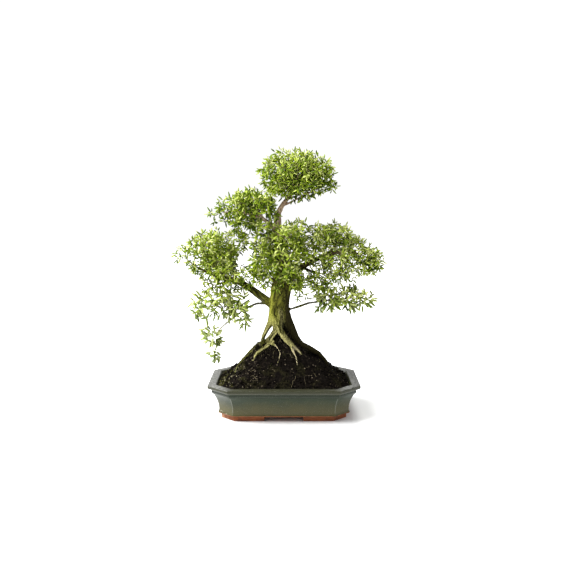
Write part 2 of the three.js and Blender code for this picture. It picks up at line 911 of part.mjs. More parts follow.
// One try at placing shoot number i of a spray, spread over its space like seeds on a head.
function planShoot({ middle, half, shoots, leaf }, stemCurve, i, attempt, draw) {
  const centre = vec(...middle);
  const from = stemCurve.getPoint(mix(STEM.firstTwig, STEM.lastTwig, (i + 0.5) / shoots));
  const height = (2 * (i + 0.5)) / shoots - 1 + SHOOT.levelSpread * (draw() - 0.5);
  const level = THREE.MathUtils.clamp(height, -1, 1);
  const around = GOLDEN_ANGLE * i + SHOOT.turnPerTry * attempt + SHOOT.turnSpread * draw();
  const flat = Math.sqrt(1 - level * level);
  const out = vec(flat * Math.cos(around), flat * Math.sin(around), level);
  const share = SHOOT.reach + SHOOT.reachSpread * draw() - SHOOT.inwardPerTry * attempt;
  const at = centre.clone().addScaledVector(out.multiply(vec(...half)), share);
  const axis = at.clone().sub(from).normalize().addScaledVector(UP, SHOOT.lean).normalize();
  const turn = 2 * Math.PI * draw();
  const lift = SHOOT.lift + SHOOT.liftSpread * draw();
  const leaves = leaf.fewest + Math.round(draw() * (leaf.most - leaf.fewest));
  return { from, at, axis, turn, lift, leaves };
}

// A stem with its shoots, less the room of the wood. Twigs of one spray may touch near the
// stem, so of each earlier shoot only the outer part has to be missed.
function spray(plan, stem, draw, others, room) {
  const stemCurve = limbCurve(stem.points);
  const pieces = [stemLimb(stem.points)];
  const heads = [];
  let made;
  for (let i = 0; i < plan.shoots; i++) {
    for (let attempt = 0; attempt < SHOOT.tries; attempt++) {
      const next = planShoot(plan, stemCurve, i, attempt, draw);
      if (!clearOf(shoot(next, plan.leaf, CLEAR), [...others, ...heads])) continue;
      const piece = shoot(next, plan.leaf);
      const grown = largest(joined([...pieces, piece]).subtract(room));
      if (!isSound(grown)) continue;
      made = grown;
      pieces.push(piece);
      heads.push(shoot({ ...next, from: next.from.clone().lerp(next.at, 0.6) }, plan.leaf));
      break;
    }
  }
  return made;
}

// The finished plant

const COLOURS = {
  glaze: { color: 0x5f6b5c, roughness: 0.28, metalness: 0 },
  screen: { color: 0x1d2a22, roughness: 0.6, metalness: 0 },
  soil: { color: 0x231b14, roughness: 0.95, metalness: 0 },
  bark: { color: 0x6d6a3c, roughness: 0.85, metalness: 0 },
  leaf: { color: 0x6b9430, roughness: 0.45, metalness: 0 },
};

const plant = new THREE.Group();

function add(name, solid, colour) {
  const material = new THREE.MeshStandardMaterial(COLOURS[colour]);
  const mesh = new THREE.Mesh(toGeometry(solid), material);
  mesh.name = name;
  plant.add(mesh);
}

// The tree's wood, and the room that the soil and the sprays leave for it.
const woodSolid = wood().simplify(SLIVER);
const woodRoom = wood(WOOD_GAP).simplify(SLIVER);

// The room that the soil leaves for a drain screen.
function screenRoom(x) {
  const side = SCREEN.side + 2 * SEAT_GAP;
  return box(side, side, TRAY.floorTop, screenTop + SEAT_GAP, x);
}

const drains = { left: -DRAIN.offset, right: DRAIN.offset };
add("pot", tray(), "glaze");
for (const [side, x] of Object.entries(drains)) {
  add(`drain_screen_${side}`, drainScreen(x), "screen");
}
const soilRoom = joined([woodRoom, ...Object.values(drains).map(screenRoom)]);
add("soil", largest(soilHeap().subtract(soilRoom)).simplify(SLIVER), "soil");
add("trunk_and_roots", woodSolid, "bark");

const sprays = [
  ...SPRAYS.map((row) => [...row, LEAF_SMALL]),
  ...LOW_SPRAYS.map((row) => [...row, LEAF_LARGE]),
].map(([name, middle, half, shoots, leaf]) => ({ name, middle, half, shoots, leaf }));
const stems = [];
for (const { middle } of sprays) {
  stems.push(planStem(middle, stems, woodRoom));
}

const draw = seeded(2024);
const grown = [];
sprays.forEach((plan, i) => {
  const otherStems = stems.filter((_, k) => k !== i).map((stem) => stem.roomy);
  const others = [woodSolid, ...otherStems, ...grown];
  const made = spray(plan, stems[i], draw, others, woodRoom);
  grown.push(made);
  add(`spray_${plan.name}`, made, "leaf");
});

// The plant leans to one side of its tray, so the tray isn't in the middle of the whole.
const bounds = new THREE.Box3().setFromObject(plant);
const centre = bounds.getCenter(new THREE.Vector3());
plant.position.set(-centre.x, -centre.y, -bounds.min.z);

export default plant;
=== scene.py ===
# %% [markdown]
# # A serissa bonsai in its glazed tray
# This lesson dresses a plain solid model of a small tree. The solids say where each piece
# is and how big it is. Here each one gets its real surface: a glazed tray with clay feet,
# a heap of dark soil with crumbs and moss, ridged bark, and several thousand small leaves.
# Lengths in the model are metres, so a constant in millimetres is multiplied by MM.

# %% Load the frame
import math

import bmesh
import bpy
import numpy as np
from mathutils import Matrix, Vector, noise
from mathutils.bvhtree import BVHTree
from mathutils.geometry import intersect_point_line


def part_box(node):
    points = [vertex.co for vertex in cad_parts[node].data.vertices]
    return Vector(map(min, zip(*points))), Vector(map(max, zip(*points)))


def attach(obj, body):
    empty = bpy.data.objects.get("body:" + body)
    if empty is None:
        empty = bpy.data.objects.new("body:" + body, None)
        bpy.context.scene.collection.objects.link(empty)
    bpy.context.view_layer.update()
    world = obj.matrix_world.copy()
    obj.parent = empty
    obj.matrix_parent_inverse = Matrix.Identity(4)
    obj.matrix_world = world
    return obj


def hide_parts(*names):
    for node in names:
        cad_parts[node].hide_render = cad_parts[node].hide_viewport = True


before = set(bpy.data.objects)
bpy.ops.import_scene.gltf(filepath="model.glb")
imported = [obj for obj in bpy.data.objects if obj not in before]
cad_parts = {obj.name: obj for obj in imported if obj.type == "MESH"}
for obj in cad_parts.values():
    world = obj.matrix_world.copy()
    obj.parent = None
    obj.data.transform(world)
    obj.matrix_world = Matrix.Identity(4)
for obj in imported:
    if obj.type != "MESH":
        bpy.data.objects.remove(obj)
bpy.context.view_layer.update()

MM = 0.001

# %% [markdown]
# ## Where the tray stands
# The tree leans over its tray, so the middle of the tray isn't the middle of the plant.
# Every rule below counts from the tray's own middle, read here from the tray's solid.

# %% Find the middle of the tray
TRAY_LOW, TRAY_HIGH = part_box("pot")
TRAY_X = (TRAY_LOW.x + TRAY_HIGH.x) / 2
print("middle of the tray, X in mm:", round(TRAY_X / MM, 2))


def from_tray(x, y, z):
    """A place counted in millimetres from the middle of the tray, at floor level."""
    return Vector((TRAY_X + x * MM, y * MM, z * MM))


# %% [markdown]
# ## The camera
# The photograph looks slightly down on the tree from well back, so nearly level lines
# stay level and the rim of the tray shows as a thin band. A camera can be aimed by eye,
# but here its height, distance and tilt were worked out from the rim's corners.

# %% Place the camera
CAMERA_RIGHT = 2.07
CAMERA_BACK = 1384
CAMERA_UP = 421
CAMERA_TILT = math.radians(6.4)
FILM_WIDTH = 36
LENS = 42.21


def new_object(name, data):
    """A new object in the scene, from a mesh, a curve, a camera or a lamp."""
    made = bpy.data.objects.new(name, data)
    bpy.context.scene.collection.objects.link(made)
    return made


camera = new_object("camera", bpy.data.cameras.new("camera"))
camera.location = from_tray(CAMERA_RIGHT, -CAMERA_BACK, CAMERA_UP)
camera.rotation_euler = (math.pi / 2 - CAMERA_TILT, 0, 0)
camera.data.sensor_width = FILM_WIDTH
camera.data.lens = LENS
bpy.context.scene.camera = camera
print("camera at", [round(c / MM) for c in camera.location])

# %% [markdown]
# ## Small helpers
# An operator acts on everything that is selected, and the solids are selected when they
# have just been loaded. So each step starts from an empty selection, and edges or faces
# are then picked in code by where they are.

# %% Selection helpers


def clear_selection():
    """Leaves edit mode and deselects every object."""
    if bpy.context.object and bpy.context.object.mode != "OBJECT":
        bpy.ops.object.mode_set(mode="OBJECT")
    bpy.ops.object.select_all(action="DESELECT")


def take(piece):
    """Makes one object the only selected and the active one."""
    clear_selection()
    piece.select_set(True)
    bpy.context.view_layer.objects.active = piece


def edit(piece):
    """Opens an object in edit mode with all of it selected."""
    take(piece)
    bpy.ops.object.mode_set(mode="EDIT")
    bpy.ops.mesh.select_all(action="SELECT")


def face_outwards(piece):
    """Turns all the faces of a closed piece outwards and leaves edit mode."""
    edit(piece)
    bpy.ops.mesh.normals_make_consistent(inside=False)
    clear_selection()


def select_faces(piece, wanted):
    """In edit mode, selects the faces for which wanted(face) is true, and counts them."""
    bpy.ops.mesh.select_mode(type="FACE")
    bpy.ops.mesh.select_all(action="DESELECT")
    shape = bmesh.from_edit_mesh(piece.data)
    chosen = [face for face in shape.faces if wanted(face)]
    for face in chosen:
        face.select_set(True)
    bmesh.update_edit_mesh(piece.data)
    return len(chosen)


def modify(piece, kind, **settings):
    """Adds a modifier, sets it and applies it."""
    take(piece)
    modifier = piece.modifiers.new(kind.lower(), kind)
    for name, value in settings.items():
        setattr(modifier, name, value)
    bpy.ops.object.modifier_apply(modifier=modifier.name)


def join(first, *others):
    """Joins objects into the first one, which stays the active one."""
    take(first)
    for other in others:
        other.select_set(True)
    bpy.ops.object.join()


def paint(piece, *materials):
    """Gives a piece these materials in place of any that it has."""
    piece.data.materials.clear()
    for material in materials:
        piece.data.materials.append(material)


def count_triangles(piece):
    """How many triangles an object's mesh has."""
    return sum(len(polygon.vertices) - 2 for polygon in piece.data.polygons)


def put_in_place(piece, name, node):
    """Names a finished piece, fixes its place in its mesh, lets it ride on the frame and
    puts it in the place of a solid."""
    take(piece)
    bpy.ops.object.transform_apply(location=True, rotation=True, scale=True)
    piece.name = piece.data.name = name
    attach(piece, "root")
    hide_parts(node)
    print(name, "has", count_triangles(piece), "triangles")


# %% [markdown]
# ## Shader maths that reads like maths
# A material is a graph of nodes. Building it by hand takes a line for each node and each
# link. The small class below wraps one output, so that `1 - mask * 2` adds its own nodes.

# %% The shader classes


class Field:
    """A value that varies over a surface: one output of a node."""

    def __init__(self, finish, socket):
        self.finish = finish
        self.socket = socket

    def maths(self, operation, *values):
        """A Math node that works on the values."""
        inputs = dict(enumerate(values))
        return self.finish.node("ShaderNodeMath", {"operation": operation}, inputs)

    def __add__(self, other):
        return self.maths("ADD", self, other)

    def __sub__(self, other):
        return self.maths("SUBTRACT", self, other)

    def __rsub__(self, other):
        return self.maths("SUBTRACT", other, self)

    def __mul__(self, other):
        return self.maths("MULTIPLY", self, other)

    def __truediv__(self, other):
        return self.maths("DIVIDE", self, other)

    def __neg__(self):
        return self * -1

    def __abs__(self):
        return self.maths("ABSOLUTE", self)

    __radd__ = __add__
    __rmul__ = __mul__

    def between(self, low, high):
        """0 below low, 1 above high, and a smooth step between them."""
        settings = {"interpolation_type": "SMOOTHSTEP"}
        inputs = {"Value": self, "From Min": low, "From Max": high}
        return self.finish.node("ShaderNodeMapRange", settings, inputs)

    def below(self, low, high):
        """1 below low, 0 above high, and a smooth step between them."""
        return 1 - self.between(low, high)

    def band(self, low, full, fading, high):
        """1 from full to fading, and 0 below low and above high."""
        return self.between(low, full) * self.below(fading, high)


class Finish:
    """A material under construction, with its main shader."""

    def __init__(self, name, **constants):
        self.material = bpy.data.materials.new(name)
        self.material.use_nodes = True
        self.tree = self.material.node_tree
        self.shader = self.tree.nodes["Principled BSDF"]
        for socket, value in constants.items():
            self.shader.inputs[socket.replace("_", " ")].default_value = value
        self.place = self.node("ShaderNodeTexCoord", out="Object")

    def node(self, kind, settings=None, inputs=None, out=0):
        """Adds a node, sets it, feeds its inputs and returns one of its outputs."""
        made = self.tree.nodes.new(kind)
        for name, value in (settings or {}).items():
            if name == "stops":
                self.set_stops(made.color_ramp, value)
            else:
                setattr(made, name, value)
        for name, value in (inputs or {}).items():
            self.feed(made.inputs[name], value)
        return Field(self, made.outputs[out])

    def set_stops(self, ramp, stops):
        """Sets the stops of a colour ramp, each a position and a colour."""
        while len(ramp.elements) < len(stops):
            ramp.elements.new(0.5)
        for element, (position, colour) in zip(ramp.elements, stops):
            element.position = position
            element.color = (*colour, 1)

    def feed(self, socket, value):
        """Links a field to a socket, or sets a number or a colour on it."""
        if isinstance(value, Field):
            self.tree.links.new(value.socket, socket)
        else:
            socket.default_value = (*value, 1) if isinstance(value, tuple) else value

    def set(self, **values):
        """Feeds sockets of the main shader."""
        for socket, value in values.items():
            self.feed(self.shader.inputs[socket.replace("_", " ")], value)

    def noise(self, scale, detail=3, roughness=0.55):
        """Noise about 0.5, with this many of its largest waves to a metre."""
        inputs = {"Vector": self.place, "Scale": scale, "Detail": detail, "Roughness": roughness}
        return self.node("ShaderNodeTexNoise", None, inputs, "Fac")

    def mix(self, amount, low, high):
        """The colour low where amount is 0 and high where it is 1."""
        inputs = {"Factor": amount, 6: low, 7: high}
        return self.node("ShaderNodeMix", {"data_type": "RGBA"}, inputs, 2)

    def ramp(self, value, *stops):
        """A colour for each value, from stops of a value and its colour."""
        return self.node("ShaderNodeValToRGB", {"stops": stops}, {"Fac": value})

    def axis(self, letter):
        """Metres along one axis of the object."""
        return self.node("ShaderNodeSeparateXYZ", None, {0: self.place}, letter)

    def across(self):
        """Millimetres to the right of the tray's middle."""
        return self.axis("X") / MM - TRAY_X / MM

    def attribute(self, name):
        """A number that the mesh carries at each of its points."""
        return self.node("ShaderNodeAttribute", {"attribute_name": name}, None, "Fac")

    def bump(self, height, strength, depth):
        """Lets a field stand out as fine relief, depth metres at full strength."""
        inputs = {"Height": height, "Strength": strength, "Distance": depth}
        self.set(Normal=self.node("ShaderNodeBump", None, inputs))


# %% [markdown]
# ## Glaze and clay
# The glaze is a soft grey green, bluer under the rim and more olive where it ran thick
# towards the base, with fine pale and dark specks from the firing. Part of the darkening
# under the rim is painted shade from the lip. It is dark in the groove under the rim, with
# painted shade, paler along the wall's corners and the rim's lower edge where the glaze is
# thin and a highlight is painted, blotchy on the rim's two ends, and chipped low down on
# the left. Height above the table and the distance from the middle say where each of these
# is, and noise gives the clouds and specks. The feet are bare red clay, with painted light
# on the left one.

# %% Make the tray's finishes


def glaze(name, pale):
    """The glaze, or the thin glaze on the edges with a painted highlight, paler by the share
    pale.
    """
    finish = Finish(name, Roughness=0.3, Specular_IOR_Level=0.2)
    height, across = finish.axis("Z") / MM, finish.across()
    clouds = finish.noise(38, 4)
    # The wall, from its olive foot up to the dark groove, darker towards the top partly as
    # painted shade under the lip, and the lip over it.
    shade = (height + (clouds - 0.5) * 22).between(16, 50)
    colour = finish.mix(shade, (0.07, 0.063, 0.024), (0.023, 0.033, 0.019))
    # Painted shade: the groove under the lip is darkened.
    groove_painted_shade = height.band(51, 53, 57, 60)
    colour = finish.mix(groove_painted_shade * 0.5, colour, (0.016, 0.02, 0.012))
    lip = (height + (clouds - 0.5) * 3).between(58, 61)
    colour = finish.mix(lip, colour, (0.021, 0.022, 0.008))
    # The flat rim, which is blotchy at its two ends.
    mottle = finish.noise(240, 4, 0.75).between(0.36, 0.64)
    ends = finish.mix(mottle, (0.05, 0.05, 0.042), (0.22, 0.22, 0.205))
    flat = finish.mix(mottle, (0.02, 0.02, 0.009), (0.04, 0.04, 0.022))
    flat = finish.mix(abs(across).between(98, 128), flat, ends)
    colour = finish.mix((height + (clouds - 0.5) * 2).between(67.4, 69), colour, flat)
    # Corners and rim edge paler, as thin glaze with a painted highlight, and chips low down on
    # the left.
    corner_thin_and_highlit = height.band(14, 22, 48, 52) * pale
    brim_thin_and_highlit = height.band(59.5, 61, 63, 65) * pale
    colour = finish.mix(corner_thin_and_highlit + brim_thin_and_highlit * 0.45, colour, (0.34, 0.35, 0.3))
    chips = finish.noise(85, 3).between(0.56, 0.62) * height.below(15.5, 17.5)
    chips = chips * (-across).between(96, 112)
    colour = finish.mix(chips * 0.7, colour, (0.44, 0.4, 0.3))
    # Pale and dark specks.
    pale_specks = finish.noise(900, 2, 0.7).between(0.6, 0.7)
    colour = finish.mix(pale_specks * 0.35, colour, (0.3, 0.32, 0.28))
    dark_specks = finish.noise(620, 2, 0.7).between(0.58, 0.7)
    colour = finish.mix(dark_specks * 0.5, colour, (0.03, 0.04, 0.03))
    finish.set(Base_Color=colour, Roughness=clouds * 0.16 + 0.24)
    finish.bump(finish.noise(260, 2) + clouds, 0.12, 0.6 * MM)
    return finish.material


def fired_clay():
    """Bare red-brown stoneware clay."""
    finish = Finish("bare_clay", Roughness=0.8)
    patches = finish.noise(70, 4)
    grit = finish.noise(1400, 2, 0.7)
    colour = finish.ramp(
        patches,
        (0.3, (0.1, 0.026, 0.006)),
        (0.55, (0.21, 0.055, 0.011)),
        (0.8, (0.3, 0.095, 0.025)),
    )
    # Painted light: the left foot is lighter where the light falls on it, in patches.
    lit_left_foot = (-finish.across()).between(104, 124) * patches.between(0.35, 0.6)
    colour = finish.mix(lit_left_foot * 0.5, colour, (0.55, 0.34, 0.2))
    finish.set(Base_Color=finish.mix(grit.between(0.6, 0.72) * 0.4, colour, (0.4, 0.2, 0.08)))
    finish.bump(grit, 0.35, 0.25 * MM)
    return finish.material


TRAY_FINISHES = [glaze("tray_glaze", 0.0), glaze("tray_glaze_thin_highlit", 0.3), fired_clay()]
# Places in that list. All of the tray takes the first one, unless it is given another.
THIN_GLAZE_HIGHLIT, CLAY = 1, 2
print("finishes:", [material.name for material in TRAY_FINISHES])

# %% [markdown]
# ## The tray's form
# The tray is one fired piece: a rectangle with its corners cut off, whose walls flare out
# in a hollow curve to a broad flat rim. It could be a lathe form, but it isn't round, and
# moving all its sides in by the same amount isn't a scaling either. So it starts as one
# eight-cornered face, which is extruded ring by ring up the outside, over the rim and
# down the inside. After each extrusion the new ring's corners are set on the outline.

# %% Extrude the tray ring by ring
HALF_WIDTH, HALF_DEPTH, CORNER_CUT = 155, 110, 43.4
# A corner cut gets shorter by this much for each millimetre that all the sides move in.
CUT_PER_INSET = 2 - math.sqrt(2)
# Each ring of the wall: how far in from the rim's outline it is, and how high.
WALL = [
    (25, 9.5), (21.6, 10.2), (20.8, 12.4), (22.4, 15), (22.8, 20), (21.8, 28), (19.6, 36),
    (16.6, 43), (12.8, 49.5), (9.2, 52.5), (8, 55.5), (8.8, 58.6), (7.6, 60), (1.4, 61.6),
    (0, 63.4), (0, 68.4), (1.2, 69.5), (16, 69.5), (18.6, 66.6), (21, 61), (24.5, 50),
    (29, 36), (32, 24), (35, 17),
]  # fmt: skip


def outline(inset):
    """The eight corners of the tray's outline, moved in by inset, anticlockwise."""
    a, b = HALF_WIDTH - inset, HALF_DEPTH - inset
    c = CORNER_CUT - CUT_PER_INSET * inset
    quarter = [(a, b - c), (a - c, b)]
    corners = quarter + [(-x, y) for x, y in reversed(quarter)]
    return corners + [(-x, -y) for x, y in corners]


def bearing(place):
    """The direction of a place from the middle."""
    return math.atan2(place[1], place[0])


def set_ring(piece, inset, height):
    """Moves the eight selected corners onto the outline, each to the one at its bearing."""
    shape = bmesh.from_edit_mesh(piece.data)
    ring = sorted((v for v in shape.verts if v.select), key=lambda v: bearing(v.co))
    for v, (x, y) in zip(ring, sorted(outline(inset), key=bearing)):
        v.co = (x * MM, y * MM, height * MM)
    bmesh.update_edit_mesh(piece.data)


def eight_corners():
    """A new eight-cornered face in the middle of the tray, open in edit mode."""
    clear_selection()
    bpy.ops.mesh.primitive_circle_add(
        vertices=8, radius=HALF_DEPTH * MM, fill_type="NGON", location=from_tray(0, 0, 0)
    )
    piece = bpy.context.object
    edit(piece)
    return piece


tray = eight_corners()
set_ring(tray, *WALL[0])
for inset, height in WALL[1:]:
    bpy.ops.mesh.extrude_region_move(TRANSFORM_OT_translate={"value": (0, 0, MM)})
    set_ring(tray, inset, height)
face_outwards(tray)
print("rings in the tray:", len(WALL))

# %% [markdown]
# ## Drain holes
# Two round holes in the floor let water out. A cylinder through the floor is taken away
# with a Boolean modifier, before the bevel, so that the holes' edges are softened too.

# %% Cut the drain holes
DRAIN_RADIUS, DRAIN_OFFSET = 9, 58
FLOOR_MIDDLE, DRILL_LENGTH = 13, 30
for side in (-1, 1):
    clear_selection()
    bpy.ops.mesh.primitive_cylinder_add(
        vertices=24,
        radius=DRAIN_RADIUS * MM,
        depth=DRILL_LENGTH * MM,
        location=from_tray(side * DRAIN_OFFSET, 0, FLOOR_MIDDLE),
    )
    cutter = bpy.context.object
    modify(tray, "BOOLEAN", operation="DIFFERENCE", object=cutter, solver="EXACT")
    bpy.data.objects.remove(cutter)
print("the drilled tray has", len(tray.data.polygons), "faces")

# %% [markdown]
# ## Soft edges where the glaze runs thin
# Fired glaze draws back from a sharp edge and shows paler there. The bevel gives each
# ridge and lip a narrow rounded strip. It also gives the strip a material slot of its
# own, so that the strip can take the paler colour, partly thin glaze and partly a painted
# highlight.

# %% Bevel the edges
EDGE_WIDTH, EDGE_ANGLE = 0.75, math.radians(24)
GLAZE_LOWEST = 12.2
paint(tray, *TRAY_FINISHES)
modify(
    tray,
    "BEVEL",
    width=EDGE_WIDTH * MM,
    segments=3,
    limit_method="ANGLE",
    angle_limit=EDGE_ANGLE,
    material=THIN_GLAZE_HIGHLIT,
    harden_normals=False,
)
edit(tray)
bare = select_faces(tray, lambda face: face.calc_center_median().z < GLAZE_LOWEST * MM)
tray.active_material_index = CLAY
bpy.ops.object.material_slot_assign()
clear_selection()
print("faces left unglazed underneath:", bare)

# %% [markdown]
# ## Four clay feet
# The feet are what is left of a low ring under the tray when the middle of each side is
# cut away, so each one turns the corner with the wall. One foot is made from the same
# eight-cornered face: inset, its middle deleted, two bisecting cuts, then pulled up. The
# other three are mirrored from it, and a mirrored copy needs its normals set right.

# %% Model the feet
FOOT_INSET, FOOT_THICKNESS, FOOT_TOP, FOOT_EDGE = 27.6, 19, 11.5, 1.4
FRONT_GAP, SIDE_GAP = 78, 62
SMOOTH_ANGLE = math.radians(40)

foot = eight_corners()
set_ring(foot, FOOT_INSET, 0)
bpy.ops.mesh.inset(thickness=FOOT_THICKNESS * MM)
bpy.ops.mesh.delete(type="ONLY_FACE")
for x, y in ((1, 0), (0, 1)):
    bpy.ops.mesh.select_all(action="SELECT")
    bpy.ops.mesh.bisect(
        plane_co=from_tray(FRONT_GAP / 2 * x, SIDE_GAP / 2 * y, 0),
        plane_no=(x, y, 0),
        clear_inner=True,
    )
bpy.ops.mesh.select_all(action="SELECT")
bpy.ops.mesh.extrude_region_move(TRANSFORM_OT_translate={"value": (0, 0, FOOT_TOP * MM)})
face_outwards(foot)
modify(foot, "BEVEL", width=FOOT_EDGE * MM, segments=3, limit_method="ANGLE")

feet = [foot]
for mirror in ((-1, 1, 1), (1, -1, 1), (-1, -1, 1)):
    copy = new_object("foot", foot.data.copy())
    copy.location = foot.location
    copy.data.transform(Matrix.Diagonal((*mirror, 1)))
    face_outwards(copy)
    feet.append(copy)
for piece in feet:
    paint(piece, *TRAY_FINISHES)
    piece.data.polygons.foreach_set("material_index", [CLAY] * len(piece.data.polygons))
join(tray, *feet)
take(tray)
bpy.ops.object.shade_smooth_by_angle(angle=SMOOTH_ANGLE)
put_in_place(tray, "tray", "pot")

# %% [markdown]
# ## Drain screens
# A square of plastic mesh lies over each drain hole. Its solid already has the right
# shape, so it stays, and only gets a dull moulded plastic with fine scratches.

# %% Finish the drain screens
finish = Finish("screen_plastic", Roughness=0.55)
grime = finish.noise(160, 4)
finish.set(Base_Color=finish.mix(grime, (0.006, 0.02, 0.012), (0.03, 0.05, 0.03)))
finish.set(Roughness=0.45 + grime * 0.3)
finish.bump(finish.noise(1500, 2), 0.2, 0.1 * MM)
for side in ("left", "right"):
    paint(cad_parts[f"drain_screen_{side}"], finish.material)
print("drain screens share", finish.material.name)

# %% [markdown]
# ## The heap of soil
# The soil is heaped to a point under the trunk and falls steeply to the rim. Its height
# is a rule: how far a place is towards the tray's wall, and then a few soft bumps. A
# flat grid is cut to the tray's eight sides with bisecting planes and each of its points
# is raised by that rule. Noise then breaks the surface into crumbs of several sizes.

# %% The soil's height
SOIL_EDGE, SOIL_INSET, SOIL_HEAP, SOIL_STEEPNESS = 65, 20.5, 110, 1.05
# Bumps and, where the height is below zero, dips: middle, height and reach.
SOIL_BUMPS = [
    (48, -2, -15, 20), (80, 4, 13, 20), (-62, 6, 6, 24), (-30, 2, -6, 12),
    (10, -52, 5, 26), (-20, 50, 5, 26), (88, -4, -7, 24), (-57, -4, 11, 13),
]  # fmt: skip
# How fast the bumps and the crumbs begin, counted from the wall inwards.
BUMPS_BEGIN, CRUMBS_BEGIN = 4, 6


def soil_reach(x, y):
    """0 in the middle of the tray and 1 at the edge of the soil, for arrays of places."""
    a, b = HALF_WIDTH - SOIL_INSET, HALF_DEPTH - SOIL_INSET
    c = CORNER_CUT - CUT_PER_INSET * SOIL_INSET
    square = np.maximum(np.maximum(abs(x) / a, abs(y) / b), (abs(x) + abs(y)) / (a + b - c))
    round_reach = np.hypot(x / a, y / b)
    blend = np.minimum(1, square)
    return np.minimum(1, round_reach * (1 - blend) + square * blend)


def soil_top(x, y):
    """The height of the soil in millimetres at places counted from the tray's middle."""
    x, y = np.asarray(x, float), np.asarray(y, float)
    bumps = sum(
        height * np.exp(-((x - bump_x) ** 2 + (y - bump_y) ** 2) / reach**2)
        for bump_x, bump_y, height, reach in SOIL_BUMPS
    )
    inwards = 1 - soil_reach(x, y)
    heap = SOIL_EDGE + SOIL_HEAP * inwards**SOIL_STEEPNESS
    return heap + bumps * np.minimum(1, BUMPS_BEGIN * inwards)


print("the heap is", round(float(soil_top(0, 0)) - SOIL_EDGE), "mm high in the middle")

# %% Raise the soil from a grid
SOIL_STEP = 1.35
SOIL_BASE, SOIL_BASE_SHARE = 20, 0.83
# Noise at three sizes: how many waves or cells to a millimetre, and how high they stand.
LUMPS, GRAINS, DUST = (0.05, 2.8), (0.22, 1.8), (0.9, 0.7)


def crumble(x, y, z):
    """How far a crumb of soil stands out, from noise at three sizes."""
    place = Vector((x, y, z))
    lumps = noise.fractal(place * LUMPS[0], 1.0, 2.1, 3)
    nearest, second = noise.voronoi(place * GRAINS[0])[0][:2]
    dust = noise.noise(place * DUST[0])
    return LUMPS[1] * lumps + GRAINS[1] * (second - nearest) + DUST[1] * dust


clear_selection()
bpy.ops.mesh.primitive_grid_add(
    x_subdivisions=round(2 * HALF_WIDTH / SOIL_STEP),
    y_subdivisions=round(2 * HALF_DEPTH / SOIL_STEP),
    size=2,
    location=from_tray(0, 0, 0),
)
soil = bpy.context.object
soil.scale = (HALF_WIDTH * MM, HALF_DEPTH * MM, 1)
bpy.ops.object.transform_apply(location=False, rotation=False, scale=True)
corners = outline(SOIL_INSET)
for (x0, y0), (x1, y1) in zip(corners, corners[1:] + corners[:1]):
    edit(soil)
    side = Vector((y1 - y0, x0 - x1, 0)).normalized()
    middle = Vector((x0 + x1, y0 + y1, 0)) / 2
    if side.dot(middle) < 0:
        side = -side
    bpy.ops.mesh.bisect(plane_co=from_tray(*middle), plane_no=side, clear_outer=True)
bpy.ops.object.mode_set(mode="OBJECT")
for v in soil.data.vertices:
    x, y = v.co.x / MM, v.co.y / MM
    z = float(soil_top(x, y))
    share = min(1, CRUMBS_BEGIN * (1 - float(soil_reach(x, y))))
    v.co.z = (z + share * crumble(x, y, z)) * MM
edit(soil)
bpy.ops.mesh.select_mode(type="EDGE")
bpy.ops.mesh.select_all(action="DESELECT")
bpy.ops.mesh.select_non_manifold()
down = (0, 0, (SOIL_BASE - SOIL_EDGE) * MM)
bpy.ops.mesh.extrude_edges_move(TRANSFORM_OT_translate={"value": down})
narrower = (SOIL_BASE_SHARE, SOIL_BASE_SHARE, 1)
bpy.ops.transform.resize(value=narrower, center_override=from_tray(0, 0, SOIL_BASE))
bpy.ops.mesh.edge_face_add()
face_outwards(soil)
print("soil surface:", len(soil.data.vertices), "points")

# %% [markdown]
# ## Copies of one small shape
# Crumbs, moss and leaves are all one small shape repeated many times. Each template is
# modelled once. Its points are then turned, scaled and moved for every copy at once,
# as arrays, and all the copies become one mesh with a number on each copy for its tone.

# %% The copying helper


def read_template(piece):
    """A template's points and faces as plain arrays. The template itself is removed."""
    points = np.array([v.co[:] for v in piece.data.vertices])
    faces = [tuple(polygon.vertices) for polygon in piece.data.polygons]
    bpy.data.objects.remove(piece)
    return points, faces


def spread(name, template, places, axes, sizes, tones):
    """A mesh with a copy of the template at each place. axes are each copy's three
    directions as rows, sizes its three scales, and tones the numbers for their colour."""
    points, faces = template
    sized = points[None, :, :] * np.asarray(sizes)[:, None, :]
    turned = np.einsum("npk,nkc->npc", sized, np.asarray(axes))
    moved = turned + np.asarray(places)[:, None, :]
    count, per_copy = len(moved), len(points)
    all_faces = [tuple(i + per_copy * n for i in face) for n in range(count) for face in faces]
    mesh = bpy.data.meshes.new(name)
    mesh.from_pydata(moved.reshape(-1, 3).tolist(), [], all_faces)
    tone = mesh.attributes.new("tone", "FLOAT", "POINT")
    tone.data.foreach_set("value", np.repeat(tones, per_copy).astype(np.float32))
    return new_object(name, mesh)


def unit(vectors):
    """Vectors made one long."""
    return vectors / (np.linalg.norm(vectors, axis=-1, keepdims=True) + 1e-12)


def random_turns(draw, count):
    """Random sets of three directions at right angles, one set for each copy."""
    first = draw.normal(size=(count, 3))
    up = unit(draw.normal(size=(count, 3)))
    first = unit(first - up * (first * up).sum(1, keepdims=True))
    return np.stack([first, np.cross(up, first), up], axis=1)


# %% [markdown]
# ## Thin tubes
# Root fibres and twigs are thin round tubes that fork. Their points are listed with the
# point that each one grew from, and cut into chains, each from an end down to the fork
# where it joins one that is already there. Each chain is a curve with a round bevel,
# thinner towards its end, and the curves are turned into a mesh.

# %% Turn points into tubes


